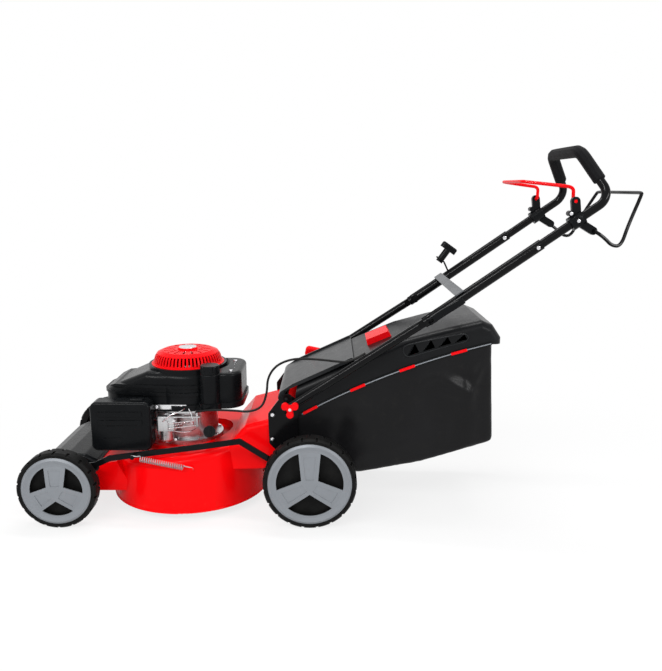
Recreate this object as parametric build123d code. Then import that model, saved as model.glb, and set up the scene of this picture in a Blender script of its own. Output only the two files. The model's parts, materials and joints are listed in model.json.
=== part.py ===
from build123d import *
import math
import os

# Petrol walk-behind lawn mower with a rear grass bag, in millimetres.
# +X points to the rear (towards the user), +Y to the machine's right, +Z up.
# The origin is on the ground, under the middle of the overall box.

# Whole machine
OVERALL_LENGTH = 1576.0
WHEELBASE = 646.0
TRACK = 472.0
RUN_GAP = 0.05
SKIN_GAP = 0.3

# Wheels
FRONT_TYRE_D = 203.0
REAR_TYRE_D = 240.0
FRONT_TYRE_W = 42.0
REAR_TYRE_W = 46.0
TYRE_BAND = 20.0
TREAD_DEPTH = 4.5
TREAD_GAP = 7.0
FRONT_LUGS = 18
REAR_LUGS = 20
CAP_MARGIN = 11.5
CAP_WALL = 3.0
CAP_CROWN = 5.0
CAP_RING = 20.0
SPOKE_W = 40.0
SPOKE_TIP_W = 58.0
WHEEL_WEB = 6.0
HUB_R = 18.0
AXLE_R = 8.0

# Rear wheel drive
GEAR_MODULE = 3.0
RING_TEETH = 50
PINION_TEETH = 10
GEAR_FACE = 14.0
SHAFT_R = 8.0

# Axles and cutting height
CRANK_ARM_ANGLE = 25.0
ARM_T = 8.0
ARM_R = 13.0
ARM_INSET = 48.0
LUG_R = 55.0
LUG_EYE_R = 11.0
LINK_PIN_R = 4.0
LINK_H = 15.0
LINK_T = 4.0
SPRING_WIRE = 2.4
SPRING_R = 6.5
SPRING_TURNS = 20

# Deck
DECK_R = 215.0
DECK_TAPER = 0.08
RIM_Z = 22.0
RIM_BEAD = 3.0
SHEET = 2.0
CRANK_OFFSET = 298.5
SHOULDER_Z = 168.5
SHOULDER_SLOPE = 8.95
SHOULDER_FILLET = 24.0
PAD_R = 118.0
PAD_Z = 165.0
TUNNEL_INSET = 22.0
TUNNEL_TOP = 272.0
TUNNEL_FLOOR = 145.0
TUNNEL_FILLET = 16.0
PAN_H = 100.0
PAN_LOW = 58.0
APRON_TOP = 162.0
NOSE_INSET = 38.0
APRON_WALL = 3.0

# Engine
CRANK_R = 11.0
FLANGE_R = 92.0
CRANKCASE_R = 78.0
CRANKCASE_H = 97.0
BAFFLE_T = 6.0
BARREL_L = 117.0
BARREL_W = 104.0
BARREL_H = 90.0
FIN_PITCH = 12.0
FIN_GAP = 6.0
FIN_DEPTH = 13.0
SHROUD_R = 112.0
SHROUD_L = 220.0
SHROUD_H = 104.0
SHROUD_WALL = 3.0
SHROUD_FILLET = 22.0
SHROUD_W = 200.0
SHROUD_SIDE = -4.0
SHROUD_NOSE_W = 150.0
SHROUD_NOSE_R = 62.0
SHROUD_FLANGE = 5.0
NOSE_DROP = 52.0
NOSE_RUN = 125.0
FLANGE_H = 16.0
RIB_H = 8.0
RECOIL_R = 100.0
RECOIL_H = 46.0
RECOIL_WALL = 2.5
RECOIL_SLOTS = 56
RECOIL_TOP_SLOTS = 16
TANK_L = 113.0
TANK_W = 190.0
TANK_H = 96.0
TANK_CORNER = 42.0
COLUMN_R = 27.0
CAP_R = 26.0
CAP_H = 22.0
NECK_R = 20.0
FLYWHEEL_R = 88.0
FLYWHEEL_FINS = 14
CLEANER_L = 160.0
CLEANER_H = 134.0
CLEANER_D = 42.0
CLEANER_WALL = 2.5
FILLER_R = 12.0
FILLER_BORE = 9.0

# Blade and drive
BLADE_L = 410.0
BLADE_W = 52.0
BLADE_T = 3.5
BLADE_Z = 42.0
CRANK_PULLEY_R = 28.0
BOX_PULLEY_R = 20.0
BELT_W = 6.0
BELT_H = 9.0
BELT_Z = 73.0
GEARBOX_R = 26.0

# Handle
TUBE_R = 11.0
SLEEVE_R = 13.5
TUBE_WALL = 1.5
LOWER_ANGLE = 33.1
UPPER_ANGLE = 34.8
TUBE_INSET = 13.0
SLEEVE_LENGTH = 330.0
UPPER_REACH = 531.0
LOOP_RISE = 112.0
LOOP_LEAN = 65.0
LOOP_INSET = 60.0
LOOP_BEND = 45.0
GRIP_R = 16.0
TONGUE_T = 8.0
BOLT_R = 4.0
CAM_LENGTH = 92.0
BRACKET_T = 4.0
BAIL_R = 4.5
BAIL_REACH = 124.0
CLAMP_AT = 431.0
DRIVE_EAR = (20.0, -44.0)
BRAKE_EAR = (22.0, 42.0)
PULL_TILT = 20.0

# Bag and flap
BAG_INSET = 3.0
BAG_WALL = 2.5
BAG_SOFT = 14.0
LID_WALL = 3.0
LID_ROUND = 24.0
SEAM_SLOPE = 21.53
SEAM_CHORD = 558.7
SEAM_BOW = 19.6
FLAP_ANGLE = 24.65
FLAP_L = 203.7
FLAP_HOOD_R = 22.0
FLAP_T = 4.0
FLAP_REST = 1.0
LIP_START = 26.0

# Places worked out from the sizes above
FRONT_X = -OVERALL_LENGTH / 2 + FRONT_TYRE_D / 2
REAR_X = FRONT_X + WHEELBASE
FRONT_Z = FRONT_TYRE_D / 2
REAR_Z = REAR_TYRE_D / 2
WHEEL_Y = TRACK / 2
CRANK_X = FRONT_X + CRANK_OFFSET
GEAR_CENTRES = GEAR_MODULE * (RING_TEETH - PINION_TEETH) / 2
ARM_DX = GEAR_CENTRES * math.cos(math.radians(CRANK_ARM_ANGLE))
ARM_DZ = GEAR_CENTRES * math.sin(math.radians(CRANK_ARM_ANGLE))
FRONT_PIVOT = (FRONT_X - ARM_DX, FRONT_Z - ARM_DZ)
REAR_PIVOT = (REAR_X - ARM_DX, REAR_Z - ARM_DZ)
LUG_DX = -LUG_R * math.sin(math.radians(CRANK_ARM_ANGLE))
LUG_DZ = LUG_R * math.cos(math.radians(CRANK_ARM_ANGLE))
LINK_DROP = LUG_R - LUG_DZ
ARM_Y = WHEEL_Y - ARM_INSET
LINK_Y = ARM_Y + ARM_T + SKIN_GAP
HANDLE_SPACING = 2 * (ARM_Y - TUBE_INSET)
TUBE_Y = HANDLE_SPACING / 2
TUNNEL_W = HANDLE_SPACING - 2 * TUNNEL_INSET
TUNNEL_Y = TUNNEL_W / 2
BAG_W = TUNNEL_W - 2 * BAG_INSET
TUNNEL_END = REAR_X - 47.5
BRACKET_Y = TUNNEL_Y + BRACKET_T
KNOB_PIVOT = (REAR_X - 51.5, 300.0)
FLAP_PIVOT = (TUNNEL_END - 16.0, KNOB_PIVOT[1] + 16.0)
LOWER_DIR = (math.cos(math.radians(LOWER_ANGLE)), math.sin(math.radians(LOWER_ANGLE)))
UPPER_DIR = (math.cos(math.radians(UPPER_ANGLE)), math.sin(math.radians(UPPER_ANGLE)))
UPPER_RUN = (CLAMP_AT + DRIVE_EAR[0]) * UPPER_DIR[0] - DRIVE_EAR[1] * UPPER_DIR[1]
FOLD_X = OVERALL_LENGTH / 2 - BAIL_R - BAIL_REACH - UPPER_RUN
LOWER_LENGTH = (FOLD_X - KNOB_PIVOT[0]) / LOWER_DIR[0]
FOLD_PIVOT = (FOLD_X, KNOB_PIVOT[1] + LOWER_LENGTH * LOWER_DIR[1])
PULL_ANGLE = UPPER_ANGLE + PULL_TILT
PULL_DIR = (math.cos(math.radians(PULL_ANGLE)), math.sin(math.radians(PULL_ANGLE)))
FLAP_DIR = (math.cos(math.radians(FLAP_ANGLE)), math.sin(math.radians(FLAP_ANGLE)))
CRANKCASE_TOP = PAD_Z + CRANKCASE_H
SHROUD_Z = CRANKCASE_TOP + BAFFLE_T
SHROUD_TOP = SHROUD_Z + SHROUD_H


def rod(start, end, radius):
    """A round bar between two points."""
    axis = Vector(*end) - Vector(*start)
    return extrude(Plane(origin=start, z_dir=axis) * Circle(radius), axis.length)


def cross_rod(place, low, high, radius):
    """A round bar across the machine at an (x, z) place."""
    return rod((place[0], low, place[1]), (place[0], high, place[1]), radius)


def upright(x, y, low, high, radius):
    """A vertical round bar."""
    return rod((x, y, low), (x, y, high), radius)


def bent_rod(points, radii, radius, bore=0.0):
    """A bar or tube bent along straight runs and tangent arcs."""
    path = FilletPolyline(*points, radius=radii)
    plane = Plane(origin=path @ 0, z_dir=path % 0)
    section = plane * Circle(radius)
    if bore:
        section = section - plane * Circle(bore)
    return sweep(section, path=path)


def block(low, high):
    """A box between two corners."""
    size = [b - a for a, b in zip(low, high)]
    middle = [(a + b) / 2 for a, b in zip(low, high)]
    return Pos(*middle) * Box(*size)


def side_plane(y):
    """A plane facing the machine's left, with X and Z as its own axes."""
    return Plane(origin=(0, y, 0), x_dir=(1, 0, 0), z_dir=(0, -1, 0))


def across(face, low, high):
    """A flat outline in X and Z made solid between two places across the machine."""
    return extrude(side_plane(high) * face, high - low)


def outline(points, corner=0.0):
    """A closed outline, with its corners rounded if a radius is given."""
    if corner:
        return make_face(FilletPolyline(*points, radius=corner, close=True))
    return make_face(Polyline(*points, close=True))


def stadium(start, end, radius):
    """A bar outline with round ends."""
    dx = end[0] - start[0]
    dz = end[1] - start[1]
    middle = ((start[0] + end[0]) / 2, (start[1] + end[1]) / 2)
    bar = Rectangle(math.hypot(dx, dz), 2 * radius)
    turned = Pos(*middle) * Rot(0, 0, math.degrees(math.atan2(dz, dx))) * bar
    return turned + Pos(*start) * Circle(radius) + Pos(*end) * Circle(radius)


def belt_outline(near, near_r, far, far_r):
    """The hull of two circles on one line along X."""
    gap = far - near
    lean = math.acos((near_r - far_r) / gap)
    side = [
        (near + near_r * math.cos(lean), near_r * math.sin(lean)),
        (far + far_r * math.cos(lean), far_r * math.sin(lean)),
    ]
    quad = make_face(
        Polyline(side[0], side[1], (side[1][0], -side[1][1]), (side[0][0], -side[0][1]), close=True)
    )
    return quad + Pos(near, 0) * Circle(near_r) + Pos(far, 0) * Circle(far_r)


def other_side(shape):
    """The same piece on the machine's right."""
    return mirror(shape, about=Plane.XZ)


def along(direction, origin, distance, offset=0.0):
    """A point on a sloping line, and its distance above that line."""
    return (
        origin[0] + distance * direction[0] - offset * direction[1],
        origin[1] + distance * direction[1] + offset * direction[0],
    )


# Deck


def chamber(inset):
    """The round blade chamber, whose shoulder rises to the rear."""
    foot = RIM_Z - 3 * inset
    head = SHOULDER_Z + DECK_R / 2
    low_r = DECK_R - inset + DECK_TAPER * (RIM_Z - foot)
    high_r = DECK_R - inset - DECK_TAPER * (head - RIM_Z)
    skirt = Pos(CRANK_X, 0, foot) * Cone(
        low_r, high_r, head - foot, align=(Align.CENTER, Align.CENTER, Align.MIN)
    )
    slope = math.radians(SHOULDER_SLOPE)
    top = Plane(
        origin=(CRANK_X, 0, SHOULDER_Z - inset), z_dir=(-math.sin(slope), 0, math.cos(slope))
    )
    body = split(skirt, bisect_by=top, keep=Keep.BOTTOM)
    shoulder = body.faces().sort_by(Axis.Z)[-1].edges()
    body = fillet(shoulder, SHOULDER_FILLET - inset)
    well = upright(CRANK_X, 0, PAD_Z - inset, head, PAD_R + SHEET + inset)
    pad = upright(CRANK_X, 0, RIM_Z + SHEET, PAD_Z - inset, PAD_R - inset)
    return body - well + pad


def tunnel(inset):
    """The chute that lifts the grass from the chamber to the bag."""
    end = TUNNEL_END + 4 * inset
    front = CRANK_X + 0.572 * DECK_R
    points = [
        (front, TUNNEL_FLOOR - 25.0),
        (front, SHOULDER_Z + 11.5),
        (front + 50.0, TUNNEL_TOP - 34.0),
        (end, TUNNEL_TOP),
        (end, TUNNEL_FLOOR),
        (CRANK_X + DECK_R + 3.0, TUNNEL_FLOOR - 23.0),
    ]
    face = outline(points)
    if inset:
        face = offset(face, amount=-inset, kind=Kind.INTERSECTION)
    half = TUNNEL_Y - inset
    body = across(face, -half, half)
    sides = [e for e in body.edges() if abs(abs(e.center().Y) - half) < 1e-3]
    roof = [e for e in sides if e.center().Z > SHOULDER_Z + 20.0 and e.center().X < end - 1.0]
    return fillet(roof, TUNNEL_FILLET - inset)


def front_pan(inset):
    """The nose of the deck, which carries the front axle."""
    nose = FRONT_PIVOT[0] - 25.0
    points = [
        (nose, PAN_LOW - 3 * inset),
        (nose, PAN_H),
        (nose + 26.0, PAN_H + 22.0),
        (CRANK_X - 172.0, PAN_H + 40.0),
        (CRANK_X - 132.0, PAN_LOW - 3 * inset),
    ]
    face = outline(points)
    if inset:
        face = offset(face, amount=-inset, kind=Kind.INTERSECTION)
    half = ARM_Y - NOSE_INSET - inset
    return across(face, -half, half)


def deck_shell():
    outside = chamber(0) + tunnel(0) + front_pan(0)
    pan_inside = front_pan(SHEET) - chamber(0)
    shell = outside - chamber(SHEET) - tunnel(SHEET) - pan_inside
    bead = Pos(CRANK_X, 0, RIM_Z) * Torus(DECK_R - SHEET / 2, RIM_BEAD)
    shell = shell + bead
    shell = shell - upright(CRANK_X, 0, 0, SHROUD_Z, CRANK_R * 3)
    shell = shell - cross_rod(FRONT_PIVOT, -WHEEL_Y, WHEEL_Y, AXLE_R + RUN_GAP)
    belt_gap = BOX_PULLEY_R + 3 * BELT_W
    belt_slot = block(
        (CRANK_X + DECK_R - 30, -belt_gap, BELT_Z - BELT_H),
        (CRANK_X + DECK_R + 10, belt_gap, BELT_Z + BELT_H),
    )
    shell = shell + spring_stud(SPRING_REAR, -DECK_R + 25.0)
    return shell - belt_slot


def front_apron():
    """Black cover over the nose of the deck."""
    nose = FRONT_PIVOT[0] - 37.0
    points = [
        (nose, PAN_H - 4.0),
        (nose + 14.0, PAN_H + 38.0),
        (nose + 45.0, APRON_TOP - 9.0),
        (nose + 88.0, APRON_TOP),
        (nose + 133.0, APRON_TOP - 2.0),
        (nose + 166.0, APRON_TOP - 19.0),
        (nose + 180.0, PAN_H + 12.0),
    ]
    face = outline(points, 14.0)
    half = ARM_Y - NOSE_INSET + 4.0
    cover = soft_rims(across(face, -half, half), half, 11.0)
    inner = half - APRON_WALL
    inside = across(offset(face, amount=-APRON_WALL), -inner, inner)
    inside = soft_rims(inside, inner, 11.0 - APRON_WALL)
    floor = block((nose, -inner, 0), (nose + 190.0, inner, PAN_H + 2 * APRON_WALL))
    return cover - inside - (floor & across(face, -inner, inner)) - front_pan(0) - chamber(0)


def soft_rims(cover, half, radius):
    """Round the upper side edges of the nose cover."""
    sides = [e for e in cover.edges() if abs(abs(e.center().Y) - half) < 1e-3]
    return fillet([e for e in sides if e.center().Z > PAN_H + 26.0], radius)


# Engine


def engine_block():
    """Crankcase and finned barrel, one casting."""
    flange = upright(CRANK_X, 0, PAD_Z, PAD_Z + 12.0, FLANGE_R)
    case = upright(CRANK_X, 0, PAD_Z, CRANKCASE_TOP, CRANKCASE_R)
    baffle = upright(CRANK_X, 0, CRANKCASE_TOP, SHROUD_Z, SHROUD_R)
    barrel_root = CRANK_X - CRANKCASE_R + 8.0
    middle = PAD_Z + 76.0
    barrel = block(
        (barrel_root - BARREL_L, -BARREL_W / 2, middle - BARREL_H / 2),
        (CRANK_X - CRANKCASE_R / 2, BARREL_W / 2, middle + BARREL_H / 2),
    )
    core = block(
        (barrel_root - BARREL_L, -BARREL_W / 2 + FIN_DEPTH, middle - BARREL_H / 2 + FIN_DEPTH),
        (CRANK_X, BARREL_W / 2 - FIN_DEPTH, middle + BARREL_H / 2 - FIN_DEPTH),
    )
    count = int(BARREL_L // FIN_PITCH)
    slots = []
    for step in range(count):
        x = barrel_root - BARREL_L + FIN_PITCH * (step + 0.5)
        slots.append(
            block(
                (x, -BARREL_W, middle - BARREL_H),
                (x + FIN_GAP, BARREL_W, middle + BARREL_H),
            )
        )
    barrel = barrel - (Part() + slots - core)
    body = flange + case + baffle + barrel
    return body - upright(CRANK_X, 0, 0, SHROUD_TOP, CRANK_R + RUN_GAP)


def shroud_form(grow, low, high, edge):
    """Blower housing form: a round fan case and a tapering front with a rounded nose."""
    nose = CRANK_X - SHROUD_L
    shoulder = CRANK_X - SHROUD_L / 3
    rear = CRANK_X + 40.0
    side = SHROUD_SIDE - SHROUD_W / 2
    far = SHROUD_SIDE + SHROUD_W / 2
    nose_near = SHROUD_SIDE - SHROUD_NOSE_W / 2
    nose_far = SHROUD_SIDE + SHROUD_NOSE_W / 2
    plan = make_face(Polyline(
        (nose, nose_near), (nose, nose_far), (shoulder, far), (rear, far), (rear, side), (shoulder, side),
        close=True,
    ))
    tips = [v for v in plan.vertices() if v.X < shoulder - 1.0]
    plan = fillet(tips, SHROUD_NOSE_R)
    plan = fillet([v for v in plan.vertices() if abs(v.X - shoulder) < 1.0], SHROUD_NOSE_R)
    if grow:
        plan = offset(plan, amount=grow, kind=Kind.INTERSECTION)
    front = extrude(Pos(0, 0, low) * plan, high - low)
    lean = Vector(-NOSE_DROP, 0, NOSE_RUN)
    slope = Plane(origin=(nose, 0, SHROUD_TOP - NOSE_DROP + grow), z_dir=lean)
    front = split(front, bisect_by=slope, keep=Keep.BOTTOM)
    fan = upright(CRANK_X, 0, low, high, SHROUD_R + grow)
    if edge:
        lids = [face for face in front.faces() if face.normal_at().Z > 0.5]
        front = fillet(ShapeList(e for face in lids for e in face.edges()), edge)
        fan = fillet(fan.faces().sort_by(Axis.Z)[-1].edges(), edge)
    return front + fan


def blower_housing():
    """Fan case with a flange round its foot, two ribs and a seat for the starter."""
    wall = SHROUD_WALL
    body = shroud_form(0, SHROUD_Z, SHROUD_TOP, SHROUD_FILLET)
    hollow = shroud_form(-wall, SHROUD_Z - 1, SHROUD_TOP - wall, SHROUD_FILLET - wall)
    flange = shroud_form(SHROUD_FLANGE, SHROUD_Z, SHROUD_Z + FLANGE_H, 0)
    ribs = [
        shroud_form(SHROUD_FLANGE - 1.5, SHROUD_Z + z, SHROUD_Z + z + RIB_H, 0)
        for z in (0.4 * SHROUD_H, 0.6 * SHROUD_H)
    ]
    collar = upright(CRANK_X, 0, SHROUD_TOP - SHROUD_FILLET, SHROUD_TOP + 7.0, RECOIL_R + 7.0)
    collar = collar - upright(CRANK_X, 0, SHROUD_TOP, SHROUD_TOP + 7.0, RECOIL_R + SKIN_GAP)
    intake = upright(CRANK_X, 0, SHROUD_Z, SHROUD_TOP + 7.0, RECOIL_R - 14.0)
    return body + flange + ribs + collar - hollow - intake


def recoil_cover():
    """Red starter cover with cooling slots round its side and over its top."""
    z = SHROUD_TOP
    rise = RECOIL_H
    wall = RECOIL_WALL
    outer = [
        (0, z + rise), (RECOIL_R - 30, z + rise - 3), (RECOIL_R - 16, z + rise - 9),
        (RECOIL_R - 10, z + rise - 18), (RECOIL_R - 4, z + 9), (RECOIL_R, z + 8), (RECOIL_R, z),
    ]
    inner = [
        (RECOIL_R - 10, z), (RECOIL_R - 10 - wall, z + rise - 20),
        (RECOIL_R - 17 - wall, z + rise - 10 - wall), (RECOIL_R - 31, z + rise - 3 - wall),
        (0, z + rise - wall),
    ]
    with_crown = Polyline(*outer, *inner, close=True)
    cover = revolve(Plane.XZ * make_face(with_crown), Axis.Z)
    badge = upright(0, 0, z + rise - wall, z + rise + 3.0, 27.0)
    slots = []
    for step in range(RECOIL_SLOTS):
        slot = block((RECOIL_R - 22, -2.4, z + 12.0), (RECOIL_R + 2, 2.4, z + rise - 11.0))
        slots.append(Rot(0, 0, step * 360 / RECOIL_SLOTS) * slot)
    for step in range(RECOIL_TOP_SLOTS):
        slot = block((36.0, -3.0, z + rise - 12.0), (RECOIL_R - 34, 3.0, z + rise + 1.0))
        slots.append(Rot(0, 0, step * 360 / RECOIL_TOP_SLOTS) * slot)
    return Pos(CRANK_X, 0, 0) * (cover + badge - slots)


TANK_FRONT = CRANK_X + 46.0
TANK_NEAR = SHROUD_SIDE - SHROUD_R
NECK_AT = (CRANK_X + 79.0, TANK_NEAR + 6.0)
TANK_Z = SHROUD_TOP + 2.0 - TANK_H


def fuel_tank():
    """Tank behind the fan case, with a flange round its foot and a filler column."""
    middle = Pos(TANK_FRONT + TANK_L / 2, TANK_NEAR + TANK_W / 2, TANK_Z)
    tank = extrude(middle * RectangleRounded(TANK_L, TANK_W, TANK_CORNER), TANK_H)
    tank = fillet(tank.faces().sort_by(Axis.Z)[-1].edges(), 10.0)
    wide = 2 * SHROUD_FLANGE
    foot = RectangleRounded(TANK_L + wide, TANK_W + wide, TANK_CORNER + SHROUD_FLANGE)
    tank = tank + extrude(middle * foot, FLANGE_H)
    column = upright(*NECK_AT, TANK_Z, TANK_Z + TANK_H, COLUMN_R)
    column = fillet(column.faces().sort_by(Axis.Z)[-1].edges(), 4.0)
    tank = tank + column + upright(*NECK_AT, TANK_Z, TANK_Z + FLANGE_H, COLUMN_R + SHROUD_FLANGE)
    tank = tank - shroud_form(SHROUD_FLANGE + SKIN_GAP, TANK_Z - 1, SHROUD_TOP + CAP_H, 0)
    neck = upright(*NECK_AT, TANK_Z + TANK_H - 4.0, TANK_Z + TANK_H + 10.0, NECK_R)
    return tank + neck


def fuel_cap():
    """Screw cap with finger flutes."""
    low = TANK_Z + TANK_H + SKIN_GAP
    cap = upright(*NECK_AT, low, low + CAP_H, CAP_R)
    cap = chamfer(cap.faces().sort_by(Axis.Z)[-1].edges(), 2.5)
    cap = cap - upright(*NECK_AT, low - 1, low + 10.0, NECK_R + SKIN_GAP)
    flutes = [
        Pos(*NECK_AT, low + 6.0) * (Rot(0, 0, 30 * step) * (Pos(CAP_R + 2.5, 0, 0) * Cylinder(
            4.0, CAP_H, align=(Align.CENTER, Align.CENTER, Align.MIN))))
        for step in range(12)
    ]
    return cap - flutes


CLEANER_REAR = CRANK_X - 74.0
CLEANER_LOW = PAD_Z + 7.0
CLEANER_BACK = SHROUD_SIDE - SHROUD_W / 2 - SHROUD_FLANGE - 8.0
CARB_X = CRANK_X - 43.0
CARB_Y = -110.0


def air_cleaner_cover():
    """Box lid of the air cleaner, with two raised bands."""
    low = (CLEANER_REAR - CLEANER_L, CLEANER_BACK - CLEANER_D, CLEANER_LOW)
    high = (CLEANER_REAR, CLEANER_BACK, CLEANER_LOW + CLEANER_H)
    lid = block(low, high)
    lid = fillet(lid.edges().filter_by(Axis.Y), 18.0)
    lid = fillet(lid.faces().sort_by(Axis.Y)[0].edges(), 8.0)
    wall = CLEANER_WALL
    inside = block(
        (low[0] + wall, low[1] + wall, low[2] + wall), (high[0] - wall, high[1] + 1, high[2] - wall)
    )
    inside = fillet(inside.edges().filter_by(Axis.Y), 18.0 - wall)
    bands = [
        block((low[0] + 22, low[1] - 2.5, low[2] + z), (high[0] - 22, low[1] + 1, low[2] + z + 12))
        for z in (CLEANER_H * 0.55, CLEANER_H * 0.72)
    ]
    return lid + bands - inside


def air_cleaner_base():
    """Back plate, with the duct to the carburettor."""
    plate = block(
        (CLEANER_REAR - CLEANER_L, CLEANER_BACK + SKIN_GAP, CLEANER_LOW),
        (CLEANER_REAR, CLEANER_BACK + 6.0, CLEANER_LOW + CLEANER_H),
    )
    plate = fillet(plate.edges().filter_by(Axis.Y), 18.0)
    foot = block(
        (CRANK_X - 178.0, CLEANER_BACK + 5.0, PAD_Z + 70.0), (CRANK_X - 100.0, -BARREL_W / 2, PAD_Z + 82.0)
    )
    duct_end = CARB_X - 24.0 - SKIN_GAP
    duct = rod(
        (CLEANER_REAR - 4, CLEANER_BACK + 3, PAD_Z + 72), (duct_end, CLEANER_BACK + 3, PAD_Z + 72), 3.0,
    )
    return plate + foot + duct


def air_filter():
    """Pleated element behind the cover."""
    margin = 14.0
    low = (CLEANER_REAR - CLEANER_L + margin, CLEANER_BACK - CLEANER_D * 0.6, CLEANER_LOW + margin)
    high = (CLEANER_REAR - margin, CLEANER_BACK + SKIN_GAP, CLEANER_LOW + CLEANER_H - margin)
    pack = block(low, high)
    grooves = [
        block(
            (low[0] + 6 + step * 12.0, low[1] - 1, low[2] - 1),
            (low[0] + 12 + step * 12.0, low[1] + 8, high[2] + 1),
        )
        for step in range(int((high[0] - low[0]) // 12))
    ]
    return pack - grooves


def carburettor():
    """Carburettor with its bowl, intake pipe and control plate."""
    body = block((CARB_X - 24, CARB_Y - 18, PAD_Z + 52), (CARB_X + 26, CARB_Y + 18, PAD_Z + 88))
    body = fillet(body.edges().filter_by(Axis.Z), 6.0)
    bowl = upright(CARB_X, CARB_Y, PAD_Z + 22, PAD_Z + 52, 19.0)
    bowl = fillet(bowl.faces().sort_by(Axis.Z)[0].edges(), 5.0)
    nut = upright(CARB_X, CARB_Y, PAD_Z + 16, PAD_Z + 23, 6.0)
    pipe = rod((CARB_X, CARB_Y, PAD_Z + 70), (CARB_X, -30.0, PAD_Z + 70), 14.0)
    flange = rod((CARB_X, CARB_Y + 17, PAD_Z + 70), (CARB_X, CARB_Y + 23, PAD_Z + 70), 21.0)
    plate = block((CARB_X - 20, CARB_Y - 12, PAD_Z + 88), (CARB_X + 92, CARB_Y + 4, PAD_Z + 91))
    post = upright(CARB_X + 84, CARB_Y - 4, PAD_Z + 60, PAD_Z + 106, 4.0)
    rods = [
        rod((CARB_X + 4, CARB_Y - 22, PAD_Z + 60 + z), (CARB_X + 84, CARB_Y - 5, PAD_Z + 64 + z), 1.5) for z in (
            0.0, 14.0,
        )
    ]
    lever = block((CARB_X - 2, CARB_Y - 24, PAD_Z + 56), (CARB_X + 8, CARB_Y - 17, PAD_Z + 82))
    made = body + bowl + nut + pipe + flange + plate + post + rods + lever
    return made - engine_block()


def muffler():
    """Pressed silencer on the barrel's right, with a louvred face."""
    side = BARREL_W / 2
    low = (CRANK_X - 172.0, side + 12.0, PAD_Z + 30.0)
    high = (CRANK_X - 67.0, side + 80.0, PAD_Z + 97.0)
    can = block(low, high)
    can = fillet(can.edges(), 12.0)
    flange = block((CRANK_X - 150, side, PAD_Z + 52), (CRANK_X - 90, side + 6, PAD_Z + 92))
    pipe = rod((CRANK_X - 120, side, PAD_Z + 70), (CRANK_X - 120, side + 20, PAD_Z + 70), 14.0)
    louvres = [
        block(
            (CRANK_X - 156 + 16 * step, high[1] - 3, PAD_Z + 46),
            (CRANK_X - 148 + 16 * step, high[1] + 1, PAD_Z + 82),
        )
        for step in range(5)
    ]
    return can + flange + pipe - louvres


def spark_plug():
    """Plug and its rubber boot at the front of the barrel."""
    x = CRANK_X - CRANKCASE_R + 8.0 - BARREL_L
    y, z = 16.0, PAD_Z + 76.0
    hexagon = extrude(Plane(origin=(x, y, z), z_dir=(-1, 0, 0)) * RegularPolygon(9.0, 6), 12.0)
    body = rod((x - 12, y, z), (x - 24, y, z), 6.0)
    boot = rod((x - 20, y, z), (x - 40, y, z), 9.5)
    elbow = rod((x - 31, y, z), (x - 31, y + 26, z + 8), 7.0)
    return hexagon + body + boot + elbow


FILLER_FOOT = Vector(CRANK_X + 66.0, -62.0, PAD_Z + 22.0)
FILLER_DIR = Vector(10.0, -70.0, 30.0).normalized()
FILLER_L = 72.0


def oil_filler():
    end = FILLER_FOOT + FILLER_DIR * FILLER_L
    start = FILLER_FOOT - FILLER_DIR * 22.0
    tube = rod(start, end, FILLER_R) + rod(end - FILLER_DIR * 8, end, FILLER_R + 3.0)
    bore = rod(FILLER_FOOT, end + FILLER_DIR, FILLER_BORE)
    tube = tube - bore
    return tube - engine_block()


def dipstick():
    end = FILLER_FOOT + FILLER_DIR * FILLER_L
    cap = rod(end + FILLER_DIR * SKIN_GAP, end + FILLER_DIR * 14.0, FILLER_R + 4.0)
    wing = Plane(origin=end + FILLER_DIR * 14.0, z_dir=FILLER_DIR) * RectangleRounded(28.0, 7.0, 2.0)
    plug = rod(end - FILLER_DIR * 9.0, end + FILLER_DIR, FILLER_BORE - RUN_GAP)
    stick = rod(FILLER_FOOT + FILLER_DIR * 4.0, end, 2.5)
    return cap + extrude(wing, 8.0) + plug + stick


# Crank and blade


def crankshaft():
    shaft = upright(CRANK_X, 0, BLADE_Z + 8.0, SHROUD_TOP - 8.0, CRANK_R)
    return shaft - upright(CRANK_X, 0, BLADE_Z, BLADE_Z + 24.0, 5.0)


def flywheel():
    """Flywheel with its cooling fan."""
    low = SHROUD_Z + 26.0
    disc = upright(CRANK_X, 0, low, low + 14.0, FLYWHEEL_R)
    hub = upright(CRANK_X, 0, low - 12.0, low + 34.0, 26.0)
    blade = block((FLYWHEEL_R - 30, -1.5, low + 13.0), (FLYWHEEL_R - 2, 1.5, low + 34.0))
    fins = [
        Pos(CRANK_X, 0, 0) * (Rot(0, 0, 360 * step / FLYWHEEL_FINS) * blade) for step in range(FLYWHEEL_FINS)
    ]
    return disc + hub + fins - upright(CRANK_X, 0, 0, SHROUD_TOP, CRANK_R)


def pulley(x, radius, bore):
    """V-belt pulley: two flanges and the groove that the belt runs in."""
    half = BELT_H / 2 + 2.5
    floor = radius - BELT_W / 2 - SKIN_GAP
    wheel = upright(x, 0, BELT_Z - half, BELT_Z + half, radius + BELT_W / 2 + 1.0)
    groove = upright(x, 0, BELT_Z - BELT_H / 2 - SKIN_GAP, BELT_Z + BELT_H / 2 + SKIN_GAP, radius + BELT_W)
    groove = groove - upright(x, 0, 0, BELT_Z + half, floor)
    return wheel - groove - upright(x, 0, 0, BELT_Z + 2 * half, bore)


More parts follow.
